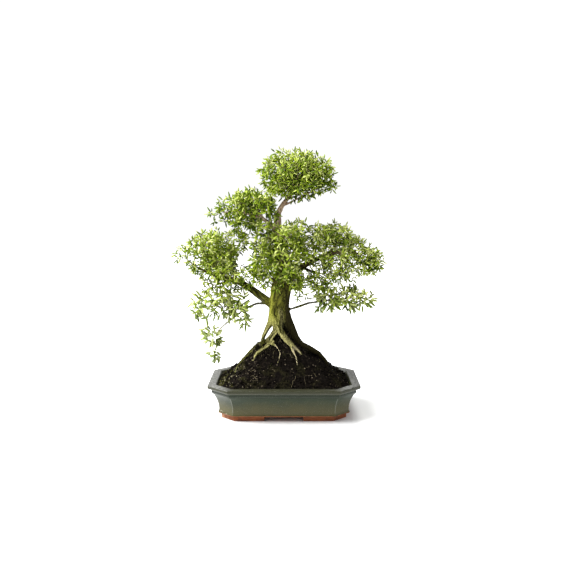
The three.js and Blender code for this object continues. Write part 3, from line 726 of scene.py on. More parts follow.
def thin_tubes(name, points, parents, radii):
    """Tubes along the chains of points, with a radius in millimetres at each point."""
    curve = bpy.data.curves.new(name, "CURVE")
    curve.dimensions = "3D"
    curve.bevel_depth = MM
    curve.bevel_resolution = 1
    curve.use_fill_caps = True
    used = set()
    for end in sorted(set(range(len(parents))) - set(parents)):
        chain = [end]
        while parents[chain[-1]] >= 0 and chain[-1] not in used:
            used.add(chain[-1])
            chain.append(parents[chain[-1]])
        if len(chain) < 2:
            continue
        line = curve.splines.new("POLY")
        line.points.add(len(chain) - 1)
        for point, i in zip(line.points, chain):
            point.co = (*points[i], 1)
            point.radius = radii[i] if i != chain[-1] else radii[chain[-2]]
    take(new_object(name, curve))
    bpy.ops.object.convert(target="MESH")
    return bpy.context.object


# %% [markdown]
# ## Crumbs, grit and bark chips
# Potting soil is a mix: black crumbs, a few grey green pebbles at the left, and pale
# chips. They lie all over the heap and are half sunk in it. A crumb is a small ball of
# twenty faces with its points pushed about, so no two sides of it are alike.

# %% Scatter the crumbs
CRUMBS = 3000
BIG_CRUMBS, BIGGER = CRUMBS // 12, 2.4
CRUMB_SIZES, CRUMB_SIDES, CRUMB_LIFT = (0.7, 1.9), (0.55, 1.25), 1.2
# Grit at the front left: how far left it begins, how much larger it is, and how many
# crumbs are pale, there and elsewhere.
GRIT_BEGINS, GRIT_SIZE, PALE_GRIT, PALE_CRUMBS = -40, 1.25, 0.3, 0.07
DARK_TONE, PALE_TONES = 0.12, (0.4, 1)
# Nothing is laid on the soil further out than this share of the way to its edge.
INSIDE = 0.97
draw = np.random.default_rng(11)
clear_selection()
bpy.ops.mesh.primitive_ico_sphere_add(subdivisions=1, radius=1)
crumb = bpy.context.object
edit(crumb)
bpy.ops.transform.vertex_random(offset=0.28, seed=3)
clear_selection()
crumb = read_template(crumb)


def soil_places(count, inside):
    """Random places on the soil, as x and y in millimetres from the tray's middle. They
    are nearer to it than inside, a share of the way to the soil's edge."""
    x = draw.uniform(-HALF_WIDTH, HALF_WIDTH, count * 3)
    y = draw.uniform(-HALF_DEPTH, HALF_DEPTH, count * 3)
    chosen = soil_reach(x, y) < inside
    return x[chosen][:count], y[chosen][:count]


def on_soil(x, y, lift):
    """The scene's points for places on the soil, raised by lift millimetres."""
    z = soil_top(x, y) + lift
    return np.stack([TRAY_X + x * MM, y * MM, z * MM], axis=1)


x, y = soil_places(CRUMBS, INSIDE)
gritty = (x < GRIT_BEGINS) & (y < 0)
size = draw.uniform(*CRUMB_SIZES, len(x)) * np.where(gritty, GRIT_SIZE, 1)
size[:BIG_CRUMBS] *= BIGGER
pale = draw.random(len(x)) < np.where(gritty, PALE_GRIT, PALE_CRUMBS)
pale[:BIG_CRUMBS] = False
tones = np.where(pale, draw.uniform(*PALE_TONES, len(x)), DARK_TONE)
sizes = size[:, None] * draw.uniform(*CRUMB_SIDES, (len(x), 3)) * MM
places = on_soil(x, y, CRUMB_LIFT)
crumbs = spread("crumbs", crumb, places, random_turns(draw, len(x)), sizes, tones)
print("crumbs:", len(x))

# %% [markdown]
# ## Fine roots in the soil
# Pale root fibres as thin as thread lie on the soil and dive in and out of it. Each one
# starts at a random place and wanders, turning a little at every step, at about the
# height of the crumbs.

# %% Lay the root fibres
FIBRES, FIBRE_STEP, FIBRE_WANDER = 110, 3.2, 0.6
FIBRE_RADII, FIBRE_LIFTS = (0.16, 0.36), (0.6, 2.6)
# A fibre starts within this share of the way to the soil's edge.
FIBRE_STARTS = 0.93
points, parents, radii = [], [], []
start_x, start_y = soil_places(FIBRES, FIBRE_STARTS)
for x, y in zip(start_x, start_y):
    heading = draw.uniform(0, math.tau)
    thickness = draw.uniform(*FIBRE_RADII)
    for step in range(draw.integers(3, 9)):
        lift = draw.uniform(*FIBRE_LIFTS)
        parents.append(len(points) - 1 if step else -1)
        points.append(on_soil(np.array([x]), np.array([y]), lift)[0])
        radii.append(thickness)
        heading += draw.normal(0, FIBRE_WANDER)
        x, y = x + FIBRE_STEP * math.cos(heading), y + FIBRE_STEP * math.sin(heading)
        if soil_reach(x, y) > INSIDE:
            break
fibres = thin_tubes("fibres", np.array(points), parents, radii)
print("root fibres:", len(start_x))

# %% [markdown]
# ## What the soil is coloured with
# Wet soil is nearly black with a brown cast, and each crumb that stands out is a touch
# lighter. Thin moss makes the left of the heap green in patches, and the grit is paler
# there. The same finish serves the heap and the crumbs: the number that each crumb
# carries picks its colour, and the heap, which has no such number, takes the darkest.

# %% Make the soil's finish
finish = Finish("dark_soil", Roughness=0.9, Specular_IOR_Level=0.05)
tone = finish.attribute("tone")
mottle = finish.noise(220, 5, 0.65)
earth = finish.ramp(
    mottle,
    (0.3, (0.0012, 0.0009, 0.0006)),
    (0.55, (0.005, 0.0036, 0.0026)),
    (0.75, (0.026, 0.02, 0.013)),
)
left = (-finish.axis("X") / MM).between(40, 130)
grit = finish.mix(left, (0.15, 0.12, 0.085), (0.3, 0.28, 0.17))
algae = finish.noise(42, 3).between(0.5, 0.62) * (left * 0.88 + 0.12)
mossy = finish.mix(algae * mottle.between(0.35, 0.6), earth, (0.065, 0.064, 0.016))
finish.set(Base_Color=finish.mix(tone.between(0.2, 1.1), mossy, grit))
finish.bump(finish.noise(1100, 3, 0.7), 0.5, 0.5 * MM)
SOIL_FINISH = finish.material

finish = Finish("root_fibre", Roughness=0.8, Specular_IOR_Level=0.2)
clean = finish.noise(30, 2).between(0.4, 0.65)
finish.set(Base_Color=finish.mix(clean, (0.03, 0.022, 0.012), (0.2, 0.165, 0.09)))

paint(soil, SOIL_FINISH)
paint(crumbs, SOIL_FINISH)
paint(fibres, finish.material)
soil.data.attributes.new("tone", "FLOAT", "POINT")
join(soil, crumbs, fibres)
put_in_place(soil, "soil_heap", "soil")

# %% [markdown]
# ## The wood, from its plain solid
# Four strands twist into the trunk, roots clasp the heap, and branches carry the leaves.
# All of it grew as one. A merged copy of its solid gives the forms. The trunk has a waist
# above its roots, so the right side of its base is moved in, and a few limbs are made
# thicker or thinner. A voxel remesh then lays an even skin over everything, smoothing
# rounds the joints, and more smoothing on the trunk alone melts its strands together.

# %% Remesh a copy of the wood
VOXEL = 1.15
# Rounds of smoothing, for all of the wood and for the trunk's strands.
ROUNDING, MELTING = 3, 40
# How far the trunk's right side is moved in at its waist.
WAIST = 8.5
# Limbs that are a little thicker or thinner than in the solid: two ends seen from the
# front, how far from that line it holds, and the change in millimetres.
LIMBS = [
    ((-26, 199), (24, 145), 13, 2.2), ((-14, 178), (-50, 134), 12, -2.8),
    ((14, 214), (150, 240), 14, 0.6), ((-46, 228), (-118, 184), 12, 0.6),
]  # fmt: skip
# The limbs lie in front of this depth, and the roots behind it keep their size.
LIMBS_FRONT = -8
wood = new_object("wood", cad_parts["trunk_and_roots"].data.copy())
wood.data.materials.clear()
edit(wood)
bpy.ops.mesh.remove_doubles(threshold=1e-6)
bpy.ops.object.mode_set(mode="OBJECT")
for v in wood.data.vertices:
    x, z = (v.co.x - TRAY_X) / MM, v.co.z / MM
    share = min((x + 14) / 16, (60 - x) / 20, (z - 120) / 35, (240 - z) / 50, 1)
    v.co.x -= WAIST * max(share, 0) * MM
    for start, end, reach, change in LIMBS:
        on_line, _ = intersect_point_line((x, z), start, end)
        share = 1 - math.hypot(x - on_line[0], z - on_line[1]) / reach
        inside = min(start[0], end[0]) < x < max(start[0], end[0])
        if v.co.y < LIMBS_FRONT * MM and inside and share > 0:
            v.co += v.normal * change * min(1, 2 * share) * MM

plain = bmesh.new()
plain.from_mesh(wood.data)
plain.faces.ensure_lookup_table()
WOOD_TREE = BVHTree.FromBMesh(plain)
# The longest edge of a face of a tapering limb runs along the limb, as the bark does.
ALONG = []
for face in plain.faces:
    longest = max(face.edges, key=lambda edge: edge.calc_length())
    line = longest.verts[1].co - longest.verts[0].co
    ALONG.append(line.normalized())
plain.free()

modify(wood, "REMESH", mode="VOXEL", voxel_size=VOXEL * MM, use_smooth_shade=True)
modify(wood, "SMOOTH", factor=0.5, iterations=ROUNDING)
grown = wood.vertex_groups.new(name="grown together")
for v in wood.data.vertices:
    x, z = (v.co.x - TRAY_X) / MM, v.co.z / MM
    share = min((z - 196) / 20, (330 - z) / 30, (26 - abs(x)) / 6)
    if share > 0:
        grown.add([v.index], min(share, 1), "REPLACE")
modify(wood, "SMOOTH", factor=0.5, iterations=MELTING, vertex_group="grown together")
print("wood skin:", len(wood.data.vertices), "points")

# %% [markdown]
# ## Ridges that run with the limb
# Bark is ridged lengthwise. Noise is the same in all directions, but its mean over a few
# places in a row along the limb is drawn out into streaks, as brushed paint is. Each
# point reads its limb's direction from the nearest face of the plain solid. Three numbers
# are kept for the colours: the ridges, the side towards the light, and the young roots.

# %% Raise the bark
# A streak is the mean of noise at this many places on each side, so far apart.
STREAK_STEPS, STREAK_GAP, STREAK_WAVES = 4, 2.2, 0.5
RIDGE_HEIGHT, GRAIN_HEIGHT, GRAIN_WAVES = 2.24, 0.15, 0.9
LIT_SIDE = Vector((-0.86, -0.3, 0.4)).normalized()
# The thin young roots: the middle of each in plan, and how far round it they lie.
ROOTLETS = [(-12, -37, 14), (26, -47, 17), (-101, -32, 16)]
ROOTLET_TOP, ROOTLET_THIN = 160, 0.8
mesh = wood.data
ridges, moss, pale = np.zeros((3, len(mesh.vertices)), np.float32)
raised = []
for i, v in enumerate(mesh.vertices):
    _, _, index, _ = WOOD_TREE.find_nearest(v.co)
    place = v.co / MM
    streak = sum(
        noise.noise((place + ALONG[index] * k * STREAK_GAP) * STREAK_WAVES)
        for k in range(-STREAK_STEPS, STREAK_STEPS + 1)
    ) / (STREAK_STEPS * 2 + 1)
    ridges[i] = streak
    # How far a point faces the light, with patches: where the bark takes painted light.
    moss[i] = v.normal.dot(LIT_SIDE) + 0.5 * noise.fractal(place * 0.05, 1.0, 2.2, 3)
    for x, y, reach in ROOTLETS:
        away = math.hypot(place.x - TRAY_X / MM - x, place.y - y) / reach
        pale[i] = max(pale[i], min(1, 4 * (1 - away), (ROOTLET_TOP - place.z) / 12))
    out = streak * RIDGE_HEIGHT + noise.noise(place * GRAIN_WAVES) * GRAIN_HEIGHT
    raised.append(v.co + v.normal * (out - ROOTLET_THIN * float(pale[i])) * MM)
for v, place in zip(mesh.vertices, raised):
    v.co = place
for name, values in (("ridges", ridges), ("moss", moss), ("pale", pale)):
    mesh.attributes.new(name, "FLOAT", "POINT").data.foreach_set("value", values)
print("ridges from", round(float(ridges.min()), 2), "to", round(float(ridges.max()), 2))

# %% [markdown]
# ## Bark colours
# The side of the trunk towards the light is yellow green: partly a thin film of algae and
# partly painted light. Elsewhere the bark is dark, with painted shade that is nearly black
# on the right flank of the base. Higher up the young bark is pink brown, with painted light
# on its neck under the crown, thin low branches are grey, and the young roots are bare and
# cream. The numbers stored on the skin say which side a point is on and how deep it lies,
# and masks made from its place say which part of the tree it belongs to.

# %% Make the bark's finish
finish = Finish("bark", Roughness=0.85, Specular_IOR_Level=0.08)
across, back, height = finish.across(), finish.axis("Y") / MM, finish.axis("Z") / MM
side = finish.attribute("moss")
fine = finish.noise(420, 4, 0.65)
depth = finish.attribute("ridges") + fine * 0.5

# Bark off the lit side: dark low down, partly painted shade, and pink brown higher up,
# with painted light on its neck under the crown.
dark_and_shaded_bark = finish.mix(depth.between(0.14, 0.44), (0.008, 0.0075, 0.001), (0.095, 0.096, 0.014))
# Painted light: the neck under the crown, which the leaves shade, is made paler.
lit_neck = height.band(368, 388, 415, 435)
young = finish.mix(lit_neck, (0.36, 0.25, 0.17), (0.82, 0.64, 0.46))
young = finish.mix(depth.between(0.05, 0.5), (0.16, 0.1, 0.065), young)
bark = finish.mix(height.between(280, 400), dark_and_shaded_bark, young)
# Painted shade: the right flank of the trunk's base is made nearly black.
shaded_flank = across.between(-2, 6) * height.below(230, 270)
shaded_flank = shaded_flank * (1 - height.between(196, 206) * across.between(13, 19))
bark = finish.mix(shaded_flank * 0.88, bark, (0.012, 0.0095, 0.003))
branch = abs(across - 2).between(38, 54) * height.between(185, 215)
thin = branch * height.below(232, 244)
bark = finish.mix(thin * 0.8, bark, (0.115, 0.11, 0.085))

# The yellow green of the side towards the light, partly a film of algae and partly painted
# light, but for a few dark places.
limb = (-across).between(22, 34) * height.between(205, 225)
lit = (-across).between(2, 12) * height.between(170, 185) * (1 - limb)
algae_and_painted_light = (side + lit * 0.4 + (fine - 0.5) * 0.5).between(-0.05, 0.5)
algae_and_painted_light = algae_and_painted_light * (1 - height.between(290, 400) * 0.85) * (1 - branch * 0.8) * (1 - limb * 0.5)
inner_root = across.between(-8, 4) * back.between(-24, -16)
back_root = (-across).between(34, 46) * back.between(-26, -16) * height.below(150, 165)
strand = across.between(-27, -16) * height.between(196, 214)
algae_and_painted_light = algae_and_painted_light * (1 - inner_root) * (1 - back_root * 0.85) * (1 - strand * 0.85)
algae = finish.mix(height.between(170, 215), (0.5, 0.46, 0.19), (0.42, 0.43, 0.06))
algae = finish.mix(depth.between(0.06, 0.42), (0.07, 0.07, 0.008), algae)
bark = finish.mix(algae_and_painted_light * (1 - thin * 0.6), bark, algae)

# A painted highlight along the ridge of the front root, and the bare young roots.
line = abs(across + (fine - 0.5) * 4 - (200 - height) * 0.2 + 5)
ridge_highlight = line.below(3, 7) * height.band(170, 180, 204, 226)
ridge_highlight = ridge_highlight * depth.between(0.1, 0.42) * back.below(-12, -4)
bark = finish.mix(ridge_highlight * 0.55, bark, (0.4, 0.36, 0.16))
bare = finish.mix((-across).between(24, 48), (0.46, 0.4, 0.23), (0.27, 0.27, 0.1))
finish.set(Base_Color=finish.mix(finish.attribute("pale"), bark, bare))
finish.bump(finish.noise(900, 3, 0.7), 0.4, 0.3 * MM)
paint(wood, finish.material)
put_in_place(wood, "wood", "trunk_and_roots")

# %% [markdown]
# ## One leaf
# A serissa leaf is a narrow pointed oval, folded a little along its midrib and bent down
# at the tip. It is modelled once from a small grid: each row is scaled to the outline, the
# midrib is pushed down and the tip dropped. A second, flipped sheet a little lower shares
# its edge with the first, so the leaf is a closed body of 32 triangles.

# %% Model the leaf
# Each row across a leaf one long: how far from the stalk, and its share of the width.
LEAF_ROWS = [(0, 0), (0.14, 0.5), (0.38, 0.96), (0.66, 0.86), (0.88, 0.42), (1, 0)]
TIP_DROP, MIDRIB_DROP, LEAF_THICKNESS = 0.16, 0.16, 0.05
SAME_PLACE = 1e-4
clear_selection()
bpy.ops.mesh.primitive_grid_add(x_subdivisions=2, y_subdivisions=5, size=1)
leaf = bpy.context.object
edit(leaf)
shape = bmesh.from_edit_mesh(leaf.data)
for v in shape.verts:
    out, across = LEAF_ROWS[round((v.co.y + 0.5) * 5)]
    on_rib = abs(v.co.x) < 0.1
    v.co.z = -TIP_DROP * out**2 - (MIDRIB_DROP * across if on_rib else 0)
    v.co.x *= across
    v.co.y = out
bmesh.update_edit_mesh(leaf.data)
bpy.ops.mesh.remove_doubles(threshold=SAME_PLACE)
bpy.ops.mesh.select_all(action="SELECT")
bpy.ops.mesh.duplicate()
bpy.ops.mesh.flip_normals()
shape = bmesh.from_edit_mesh(leaf.data)
for v in shape.verts:
    if v.select and abs(v.co.x) < 0.01 and 0.01 < v.co.y < 0.99:
        v.co.z -= LEAF_THICKNESS
bpy.ops.mesh.select_all(action="SELECT")
bpy.ops.mesh.remove_doubles(threshold=SAME_PLACE)
bpy.ops.mesh.quads_convert_to_tris()
clear_selection()
LEAF = read_template(leaf)
print("leaf:", len(LEAF[0]), "points,", len(LEAF[1]), "faces")

# %% [markdown]
# ## How a spray grows
# Each leafy spray has a plain solid that says where its leaves are. Points on it, and
# more points inside egg shapes around it, are the goals that the twigs grow towards:
# every goal pulls the nearest twig end a step, and a goal that is reached is dropped.
# That makes twigs fork as real ones do, and they end up all through the spray's space.
# The tree is clipped into pads that one can see through in places, so goals outside the
# pads' outlines or inside their gaps are left out. The first twig starts where the solid
# meets the wood.

# %% Grow twigs towards goals
# The outlines that the canopy is clipped to, seen from the front: the middle and half
# sizes of each oval in millimetres from the middle of the tray.
PADS = [
    (26, 491, 83, 56), (94, 478, 20, 18), (-20, 506, 26, 32), (-6, 530, 30, 22),
    (-78, 425, 62, 45), (-146, 408, 19, 34), (-153, 330, 60, 50), (-104, 358, 36, 28),
    (-158, 286, 18, 14), (-214, 324, 25, 27), (-110, 280, 53, 34), (-60, 290, 20, 20),
    (-128, 228, 65, 42), (-84, 186, 20, 22), (-62, 226, 14, 12), (-14, 335, 56, 84),
    (28, 390, 26, 20), (45, 300, 50, 48), (34, 244, 18, 20), (79, 343, 58, 58),
    (118, 328, 77, 37), (140, 352, 23, 25), (106, 354, 40, 41), (102, 302, 42, 38),
    (183, 316, 29, 28), (70, 275, 52, 32), (112, 238, 77, 31), (-151, 160, 29, 28),
    (-143, 122, 17, 15), (44, 384, 12, 14), (124, 381, 14, 15), (127, 282, 14, 10),
    (46, 238, 14, 14), (154, 299, 19, 12),
]  # fmt: skip
# Gaps in the pads that one can see through, given in the same way.
GAPS = [(41, 306, 12, 12), (-40, 408, 10, 10), (-184, 320, 12, 11), (-101, 360, 9, 16)]
# The eggs' goals stay this far inside the pads, because leaves reach past their twigs.
PAD_INSET = 5
# The higher this power, the more of an egg's goals lie near its skin.
EGG_SKIN = 3.6
# A goal is reached within this share of a step. Twigs wander by the second share, and
# stop after so many rounds.
REACHED, WANDER, ROUNDS = 0.92, 0.22, 60
# Where a twig forks, its radius to this power is the sum of its branches' to the same.
FORK_POWER = 2.4


def surface_points(piece, count, draw):
    """Random points on a mesh, even over its area."""
    mesh = piece.data
    mesh.calc_loop_triangles()
    points = np.array([v.co[:] for v in mesh.vertices])
    corners = points[np.array([t.vertices[:] for t in mesh.loop_triangles])]
    area = np.linalg.norm(
        np.cross(corners[:, 1] - corners[:, 0], corners[:, 2] - corners[:, 0]), axis=1
    )
    chosen = corners[draw.choice(len(corners), count, p=area / area.sum())]
    u, v = draw.random((2, count, 1))
    over = u + v > 1
    u, v = np.where(over, 1 - u, u), np.where(over, 1 - v, v)
    return chosen[:, 0] + u * (chosen[:, 1] - chosen[:, 0]) + v * (chosen[:, 2] - chosen[:, 0])


def inside_points(middle, half, room, draw):
    """Random points in an egg shape, one for each room of so many cubic millimetres and
    more of them near its skin."""
    middle, half = np.array(middle), np.array(half)
    # An egg's volume is 4.19 times the product of its three half sizes.
    count = int(4.19 * np.prod(half) / room)
    way = unit(draw.normal(size=(count, 3)))
    points = middle + way * draw.random((count, 1)) ** (1 / EGG_SKIN) * half
    return points * MM + np.array((TRAY_X, 0, 0))


def in_any(ovals, points, inset=0):
    """Whether each point is inside one of the ovals, made smaller by inset millimetres."""
    across, up = (points[:, 0] - TRAY_X) / MM, points[:, 2] / MM
    inside = np.zeros(len(points), bool)
    for x, z, half_x, half_z in ovals:
        inside |= np.hypot((across - x) / (half_x - inset), (up - z) / (half_z - inset)) < 1
    return inside


def clip(points, inset):
    """The points that are inside the pads, made smaller by inset, and outside the gaps."""
    return points[in_any(PADS, points, inset) & ~in_any(GAPS, points)]


def first_seat(piece):
    """The place on the wood that a spray's solid comes nearest to."""
    found = (WOOD_TREE.find_nearest(v.co) for v in piece.data.vertices)
    return np.array(min(found, key=lambda hit: hit[3])[0])


def grow_twigs(seat, goals, step, draw):
    """Points of a twig tree in metres and, for each one, the point that it grew from."""
    points, parents = [seat], [-1]
    for _ in range(ROUNDS):
        if not len(goals):
            break
        place = np.array(points)
        gap = goals[:, None, :] - place[None, :, :]
        far = np.linalg.norm(gap, axis=2)
        nearest = far.argmin(1)
        kept = far.min(1) > step * REACHED * MM
        goals, nearest, gap = goals[kept], nearest[kept], gap[kept]
        for start in np.unique(nearest):
            pull = unit(gap[nearest == start, start]).sum(0)
            pull += draw.normal(0, WANDER, 3) * np.linalg.norm(pull)
            points.append(place[start] + unit(pull) * step * MM)
            parents.append(int(start))
    return np.array(points), parents


def twig_sizes(parents, tip):
    """Each point's radius in millimetres, so that a fork is as thick as its twigs need,
    and the number of twig ends that it carries."""
    load = np.zeros(len(parents))
    ends = np.zeros(len(parents), int)
    for i in reversed(range(len(parents))):
        if load[i] == 0:
            load[i] = tip**FORK_POWER
            ends[i] = 1
        if parents[i] >= 0:
            load[parents[i]] += load[i]
            ends[parents[i]] += ends[i]
    return load ** (1 / FORK_POWER), ends


# %% [markdown]
# ## Leaves in crossed pairs
# Serissa leaves stand in pairs, and each pair is turned a quarter from the one below it.
# They crowd in a small tuft at the end of each shoot. Young tufts are yellow green and old
# leaves inside are dark, and leaves high in a spray are lighter and those underneath darker,
# as painted light and shade from above.

# %% Place the leaves
# How far a leaf strays at random: its pair's turn, its own turn, and its direction.
PAIR_STRAY, TURN_STRAY, WAY_STRAY = 0.25, 0.2, 0.12
# Turns are counted from this slanting direction, because hardly a twig points that way.
ASLANT = (0.3, 0.2, 1.0)
# The last pair of a shoot stands up by this share of its lean.
LAST_PAIR_UP = 0.45
# Leaves behind the end of a shoot are at most this young.
OLD_LEAF = 0.25


def leaf_places(points, parents, ends, rule, draw):
    """Where each leaf of a spray starts, which way it points, and its youth, from 0 to 1
    at the shoot's end."""
    starts, ways, youth = [], [], []
    parent = np.array(parents)
    turn = np.zeros(len(parent))
    carried = set(parents)
    for i in range(1, len(parent)):
        along = unit(points[i] - points[parent[i]])
        side = unit(np.cross(along, ASLANT))
        other = np.cross(along, side)
        turn[i] = turn[parent[i]] + math.pi / 2 + draw.normal(0, PAIR_STRAY)
        at_end = i not in carried
        if ends[i] > rule["most_ends"] and not at_end:
            continue
        pairs = rule["tuft"] if at_end else rule["pairs"]
        for p in range(pairs):
            share = (p + 1) / pairs
            place = points[parent[i]] + (points[i] - points[parent[i]]) * share
            spin = turn[i] + p * math.pi / 2
            for half in (0, math.pi):
                if draw.random() < rule["missing"]:
                    continue
                angle = spin + half + draw.normal(0, TURN_STRAY)
                out = side * math.cos(angle) + other * math.sin(angle)
                lean = rule["lean"] * (1 - LAST_PAIR_UP * (at_end and p == pairs - 1))
                way = along * math.cos(lean) + out * math.sin(lean)
                way = way + np.array((0, 0, rule["rise"])) + draw.normal(0, WAY_STRAY, 3)
                starts.append(place)
                ways.append(way)
                youth.append(share if at_end else OLD_LEAF * share)
    return np.array(starts), unit(np.array(ways)), np.array(youth)


# How far the leaves' faces turn from straight up, and how their sizes vary: the range at
# random, and the share by which the youngest are smaller.
FACE_STRAY = 0.38
LENGTHS, YOUNG_LENGTH = (0.72, 1.12), 0.22
WIDTHS, YOUNG_WIDTH = (0.85, 1.15), 0.12
# A leaf's tone is the first number and its part's shade, more if it is young, more again
# as painted light if it is high in its spray, and then a little at random.
TONE, TONE_TOP_LIT, TONE_YOUNG, TONE_STRAY = 0.14, 0.42, 0.3, 0.25


def leaf_copies(starts, ways, youth, rule, shade, draw):
    """The leaves of a spray as one mesh. shade is the spray's own shift of their tone."""
    count = len(starts)
    up = np.array((0, 0, 1.0)) + draw.normal(0, FACE_STRAY, (count, 3))
    normal = unit(up - ways * (up * ways).sum(1, keepdims=True))
    axes = np.stack([np.cross(ways, normal), ways, normal], axis=1)
    length = rule["length"] * draw.uniform(*LENGTHS, count) * (1 - YOUNG_LENGTH * youth)
    width = rule["width"] * draw.uniform(*WIDTHS, count) * (1 - YOUNG_WIDTH * youth)
    sizes = np.stack([width, length, length], axis=1) * MM
    high = starts[:, 2]
    # Painted light: the higher a leaf is in its spray, the lighter it is.
    top_lit_share = (high - high.min()) / (high.max() - high.min() + 1e-9)
    tones = TONE + shade + TONE_TOP_LIT * top_lit_share + TONE_YOUNG * youth
    tones = np.clip(tones + draw.normal(0, TONE_STRAY, count), 0, 1)
    return spread("leaves", LEAF, starts, axes, sizes, tones)


# %% [markdown]
# ## The leaf's finish
# A leaf is glossy and dark on top and lets light through, so against the light it glows
# yellow green. A share of plain translucence is mixed with the glossy surface. Its
# colour runs from dark green for old leaves to yellow green for young ones, and the
# larger leaves low on the tree are greyer.

# %% Make the leaf's finish
finish = Finish("leaf", Roughness=0.42, Specular_IOR_Level=0.08)
tone = finish.attribute("tone")
blotch = finish.noise(160, 2) - 0.5
colour = finish.ramp(
    tone + blotch * 0.15,
    (0.05, (0.025, 0.055, 0.004)),
    (0.35, (0.15, 0.24, 0.01)),
    (0.65, (0.42, 0.53, 0.045)),
    (0.95, (0.76, 0.81, 0.3)),
)
mature = (finish.axis("Z") / MM).below(190, 270)
colour = finish.mix(mature * 0.35, colour, (0.38, 0.44, 0.27))
finish.set(Base_Color=colour, Roughness=blotch * 0.2 + 0.36)
LET_THROUGH = 0.32
glow = finish.node("ShaderNodeBsdfTranslucent", None, {"Color": (0.46, 0.57, 0.03)})
surface = Field(finish, finish.shader.outputs[0])
mixed = finish.node("ShaderNodeMixShader", None, {0: LET_THROUGH, 1: surface, 2: glow})
output = finish.tree.nodes["Material Output"]
finish.tree.links.new(mixed.socket, output.inputs["Surface"])
LEAF_FINISH = finish.material

finish = Finish("young_twig", Roughness=0.7)
streaks = finish.noise(300, 3)
finish.set(Base_Color=finish.mix(streaks, (0.05, 0.038, 0.012), (0.23, 0.2, 0.07)))
finish.bump(finish.noise(1500, 2), 0.3, 0.1 * MM)
TWIG_FINISH = finish.material
print("leaf and twig finishes made")

# %% [markdown]
# ## Every spray
# Now each spray gets its twigs and leaves. The dense pads carry many small leaves, the
# low sprays fewer and larger ones. Three lists name what differs from spray to spray:
# how thin it is, where more eggs fill out its pad, and how light its leaves are.

# %% What differs from spray to spray
# Two rules for sprays, in millimetres and radians. form is the number of goals on the
# solid. room is the cubic millimetres to each goal in an egg, and the solid's own egg is
# its box made larger by swell. step is a twig's step and tip the radius at its end. A
# twig that carries up to most_ends ends bears so many pairs of leaves, and its end a tuft
# of so many pairs. missing is the share of leaves that have fallen. lean is a leaf's
# angle to its twig and rise turns it up. length and width are those of a grown leaf.
PAD = {"form": 30, "room": 2000, "swell": 1.35, "step": 6.8, "most_ends": 6, "tuft": 2,
       "pairs": 1, "missing": 0.1, "lean": 1.0, "rise": 0.1, "length": 13.8, "width": 3.4,
       "tip": 0.2}  # fmt: skip
LOW = {"form": 16, "room": 4600, "swell": 1.25, "step": 9.0, "most_ends": 4, "tuft": 2,
       "pairs": 1, "missing": 0.23, "lean": 1.05, "rise": 0.0, "length": 21.0,
       "width": 5.7, "tip": 0.28}  # fmt: skip
# Sprays that are thinner than the others, or denser if the number is below 1: how many
# times the room each goal has.
AIRY = {
    "upper_left_tail": 4, "upper_left_far": 2, "left_tip": 5, "left_far": 2.4,
    "low_left_hang": 2, "low_left_end": 0.9,
}  # fmt: skip
# More eggs, for sprays that reach out to a side: each one's middle and half sizes.
MORE = {
    "crown_top": [((-4, 0, 528), (26, 20, 18))],
    "crown_low": [((98, 0, 474), (16, 16, 14))],
    "centre_high": [((-80, -10, 360), (12, 14, 17))],
    "centre_up": [((28, -22, 396), (20, 18, 18)), ((4, -30, 390), (16, 14, 14)),
                  ((44, -18, 384), (12, 10, 14))],
    "centre_left": [((-58, -30, 290), (16, 16, 13))],
    "centre_low": [((-38, -44, 268), (14, 12, 9))],
    "centre_base": [((24, -30, 274), (24, 16, 24)), ((30, -32, 246), (16, 12, 13)),
                    ((46, -28, 238), (11, 8, 10))],
    "left_front": [((-86, -24, 280), (36, 20, 24)), ((-112, -26, 268), (22, 18, 13))],
    "left_inner": [((-92, -10, 310), (24, 18, 14)), ((-119, -6, 368), (14, 16, 13))],
    "left_far": [((-200, -8, 306), (14, 14, 11))],
    "low_left_mid": [((-108, -26, 240), (38, 20, 32)), ((-143, -18, 204), (17, 14, 13))],
    "low_left_near": [((-96, -22, 242), (27, 18, 17)), ((-80, -22, 180), (14, 10, 14)),
                      ((-106, -22, 202), (34, 14, 12)), ((-66, -20, 222), (12, 8, 9))],
    "right_under": [((46, -26, 286), (38, 20, 28)), ((104, -20, 300), (20, 18, 16))],
    "right_mid": [((110, -16, 310), (20, 16, 13))],
    "right_low": [((154, -14, 299), (19, 16, 12)), ((122, -14, 280), (24, 12, 10))],
    "right_top": [((124, -10, 382), (13, 12, 13))],
    "right_far": [((144, -6, 364), (14, 14, 10))],
    "low_right_mid": [((128, -20, 252), (18, 16, 15))],
    "low_right_far": [((166, -12, 227), (17, 14, 9))],
}
# How much lighter or darker the leaves of a part of the tree are.
SHADES = {
    "crown": 0.02, "upper_left": -0.04, "left": 0.08, "centre": 0.06, "right": 0.13,
    "low_left": 0.17, "low_right": 0.22,
}  # fmt: skip
print("sprays with rules of their own:", len(AIRY | MORE))

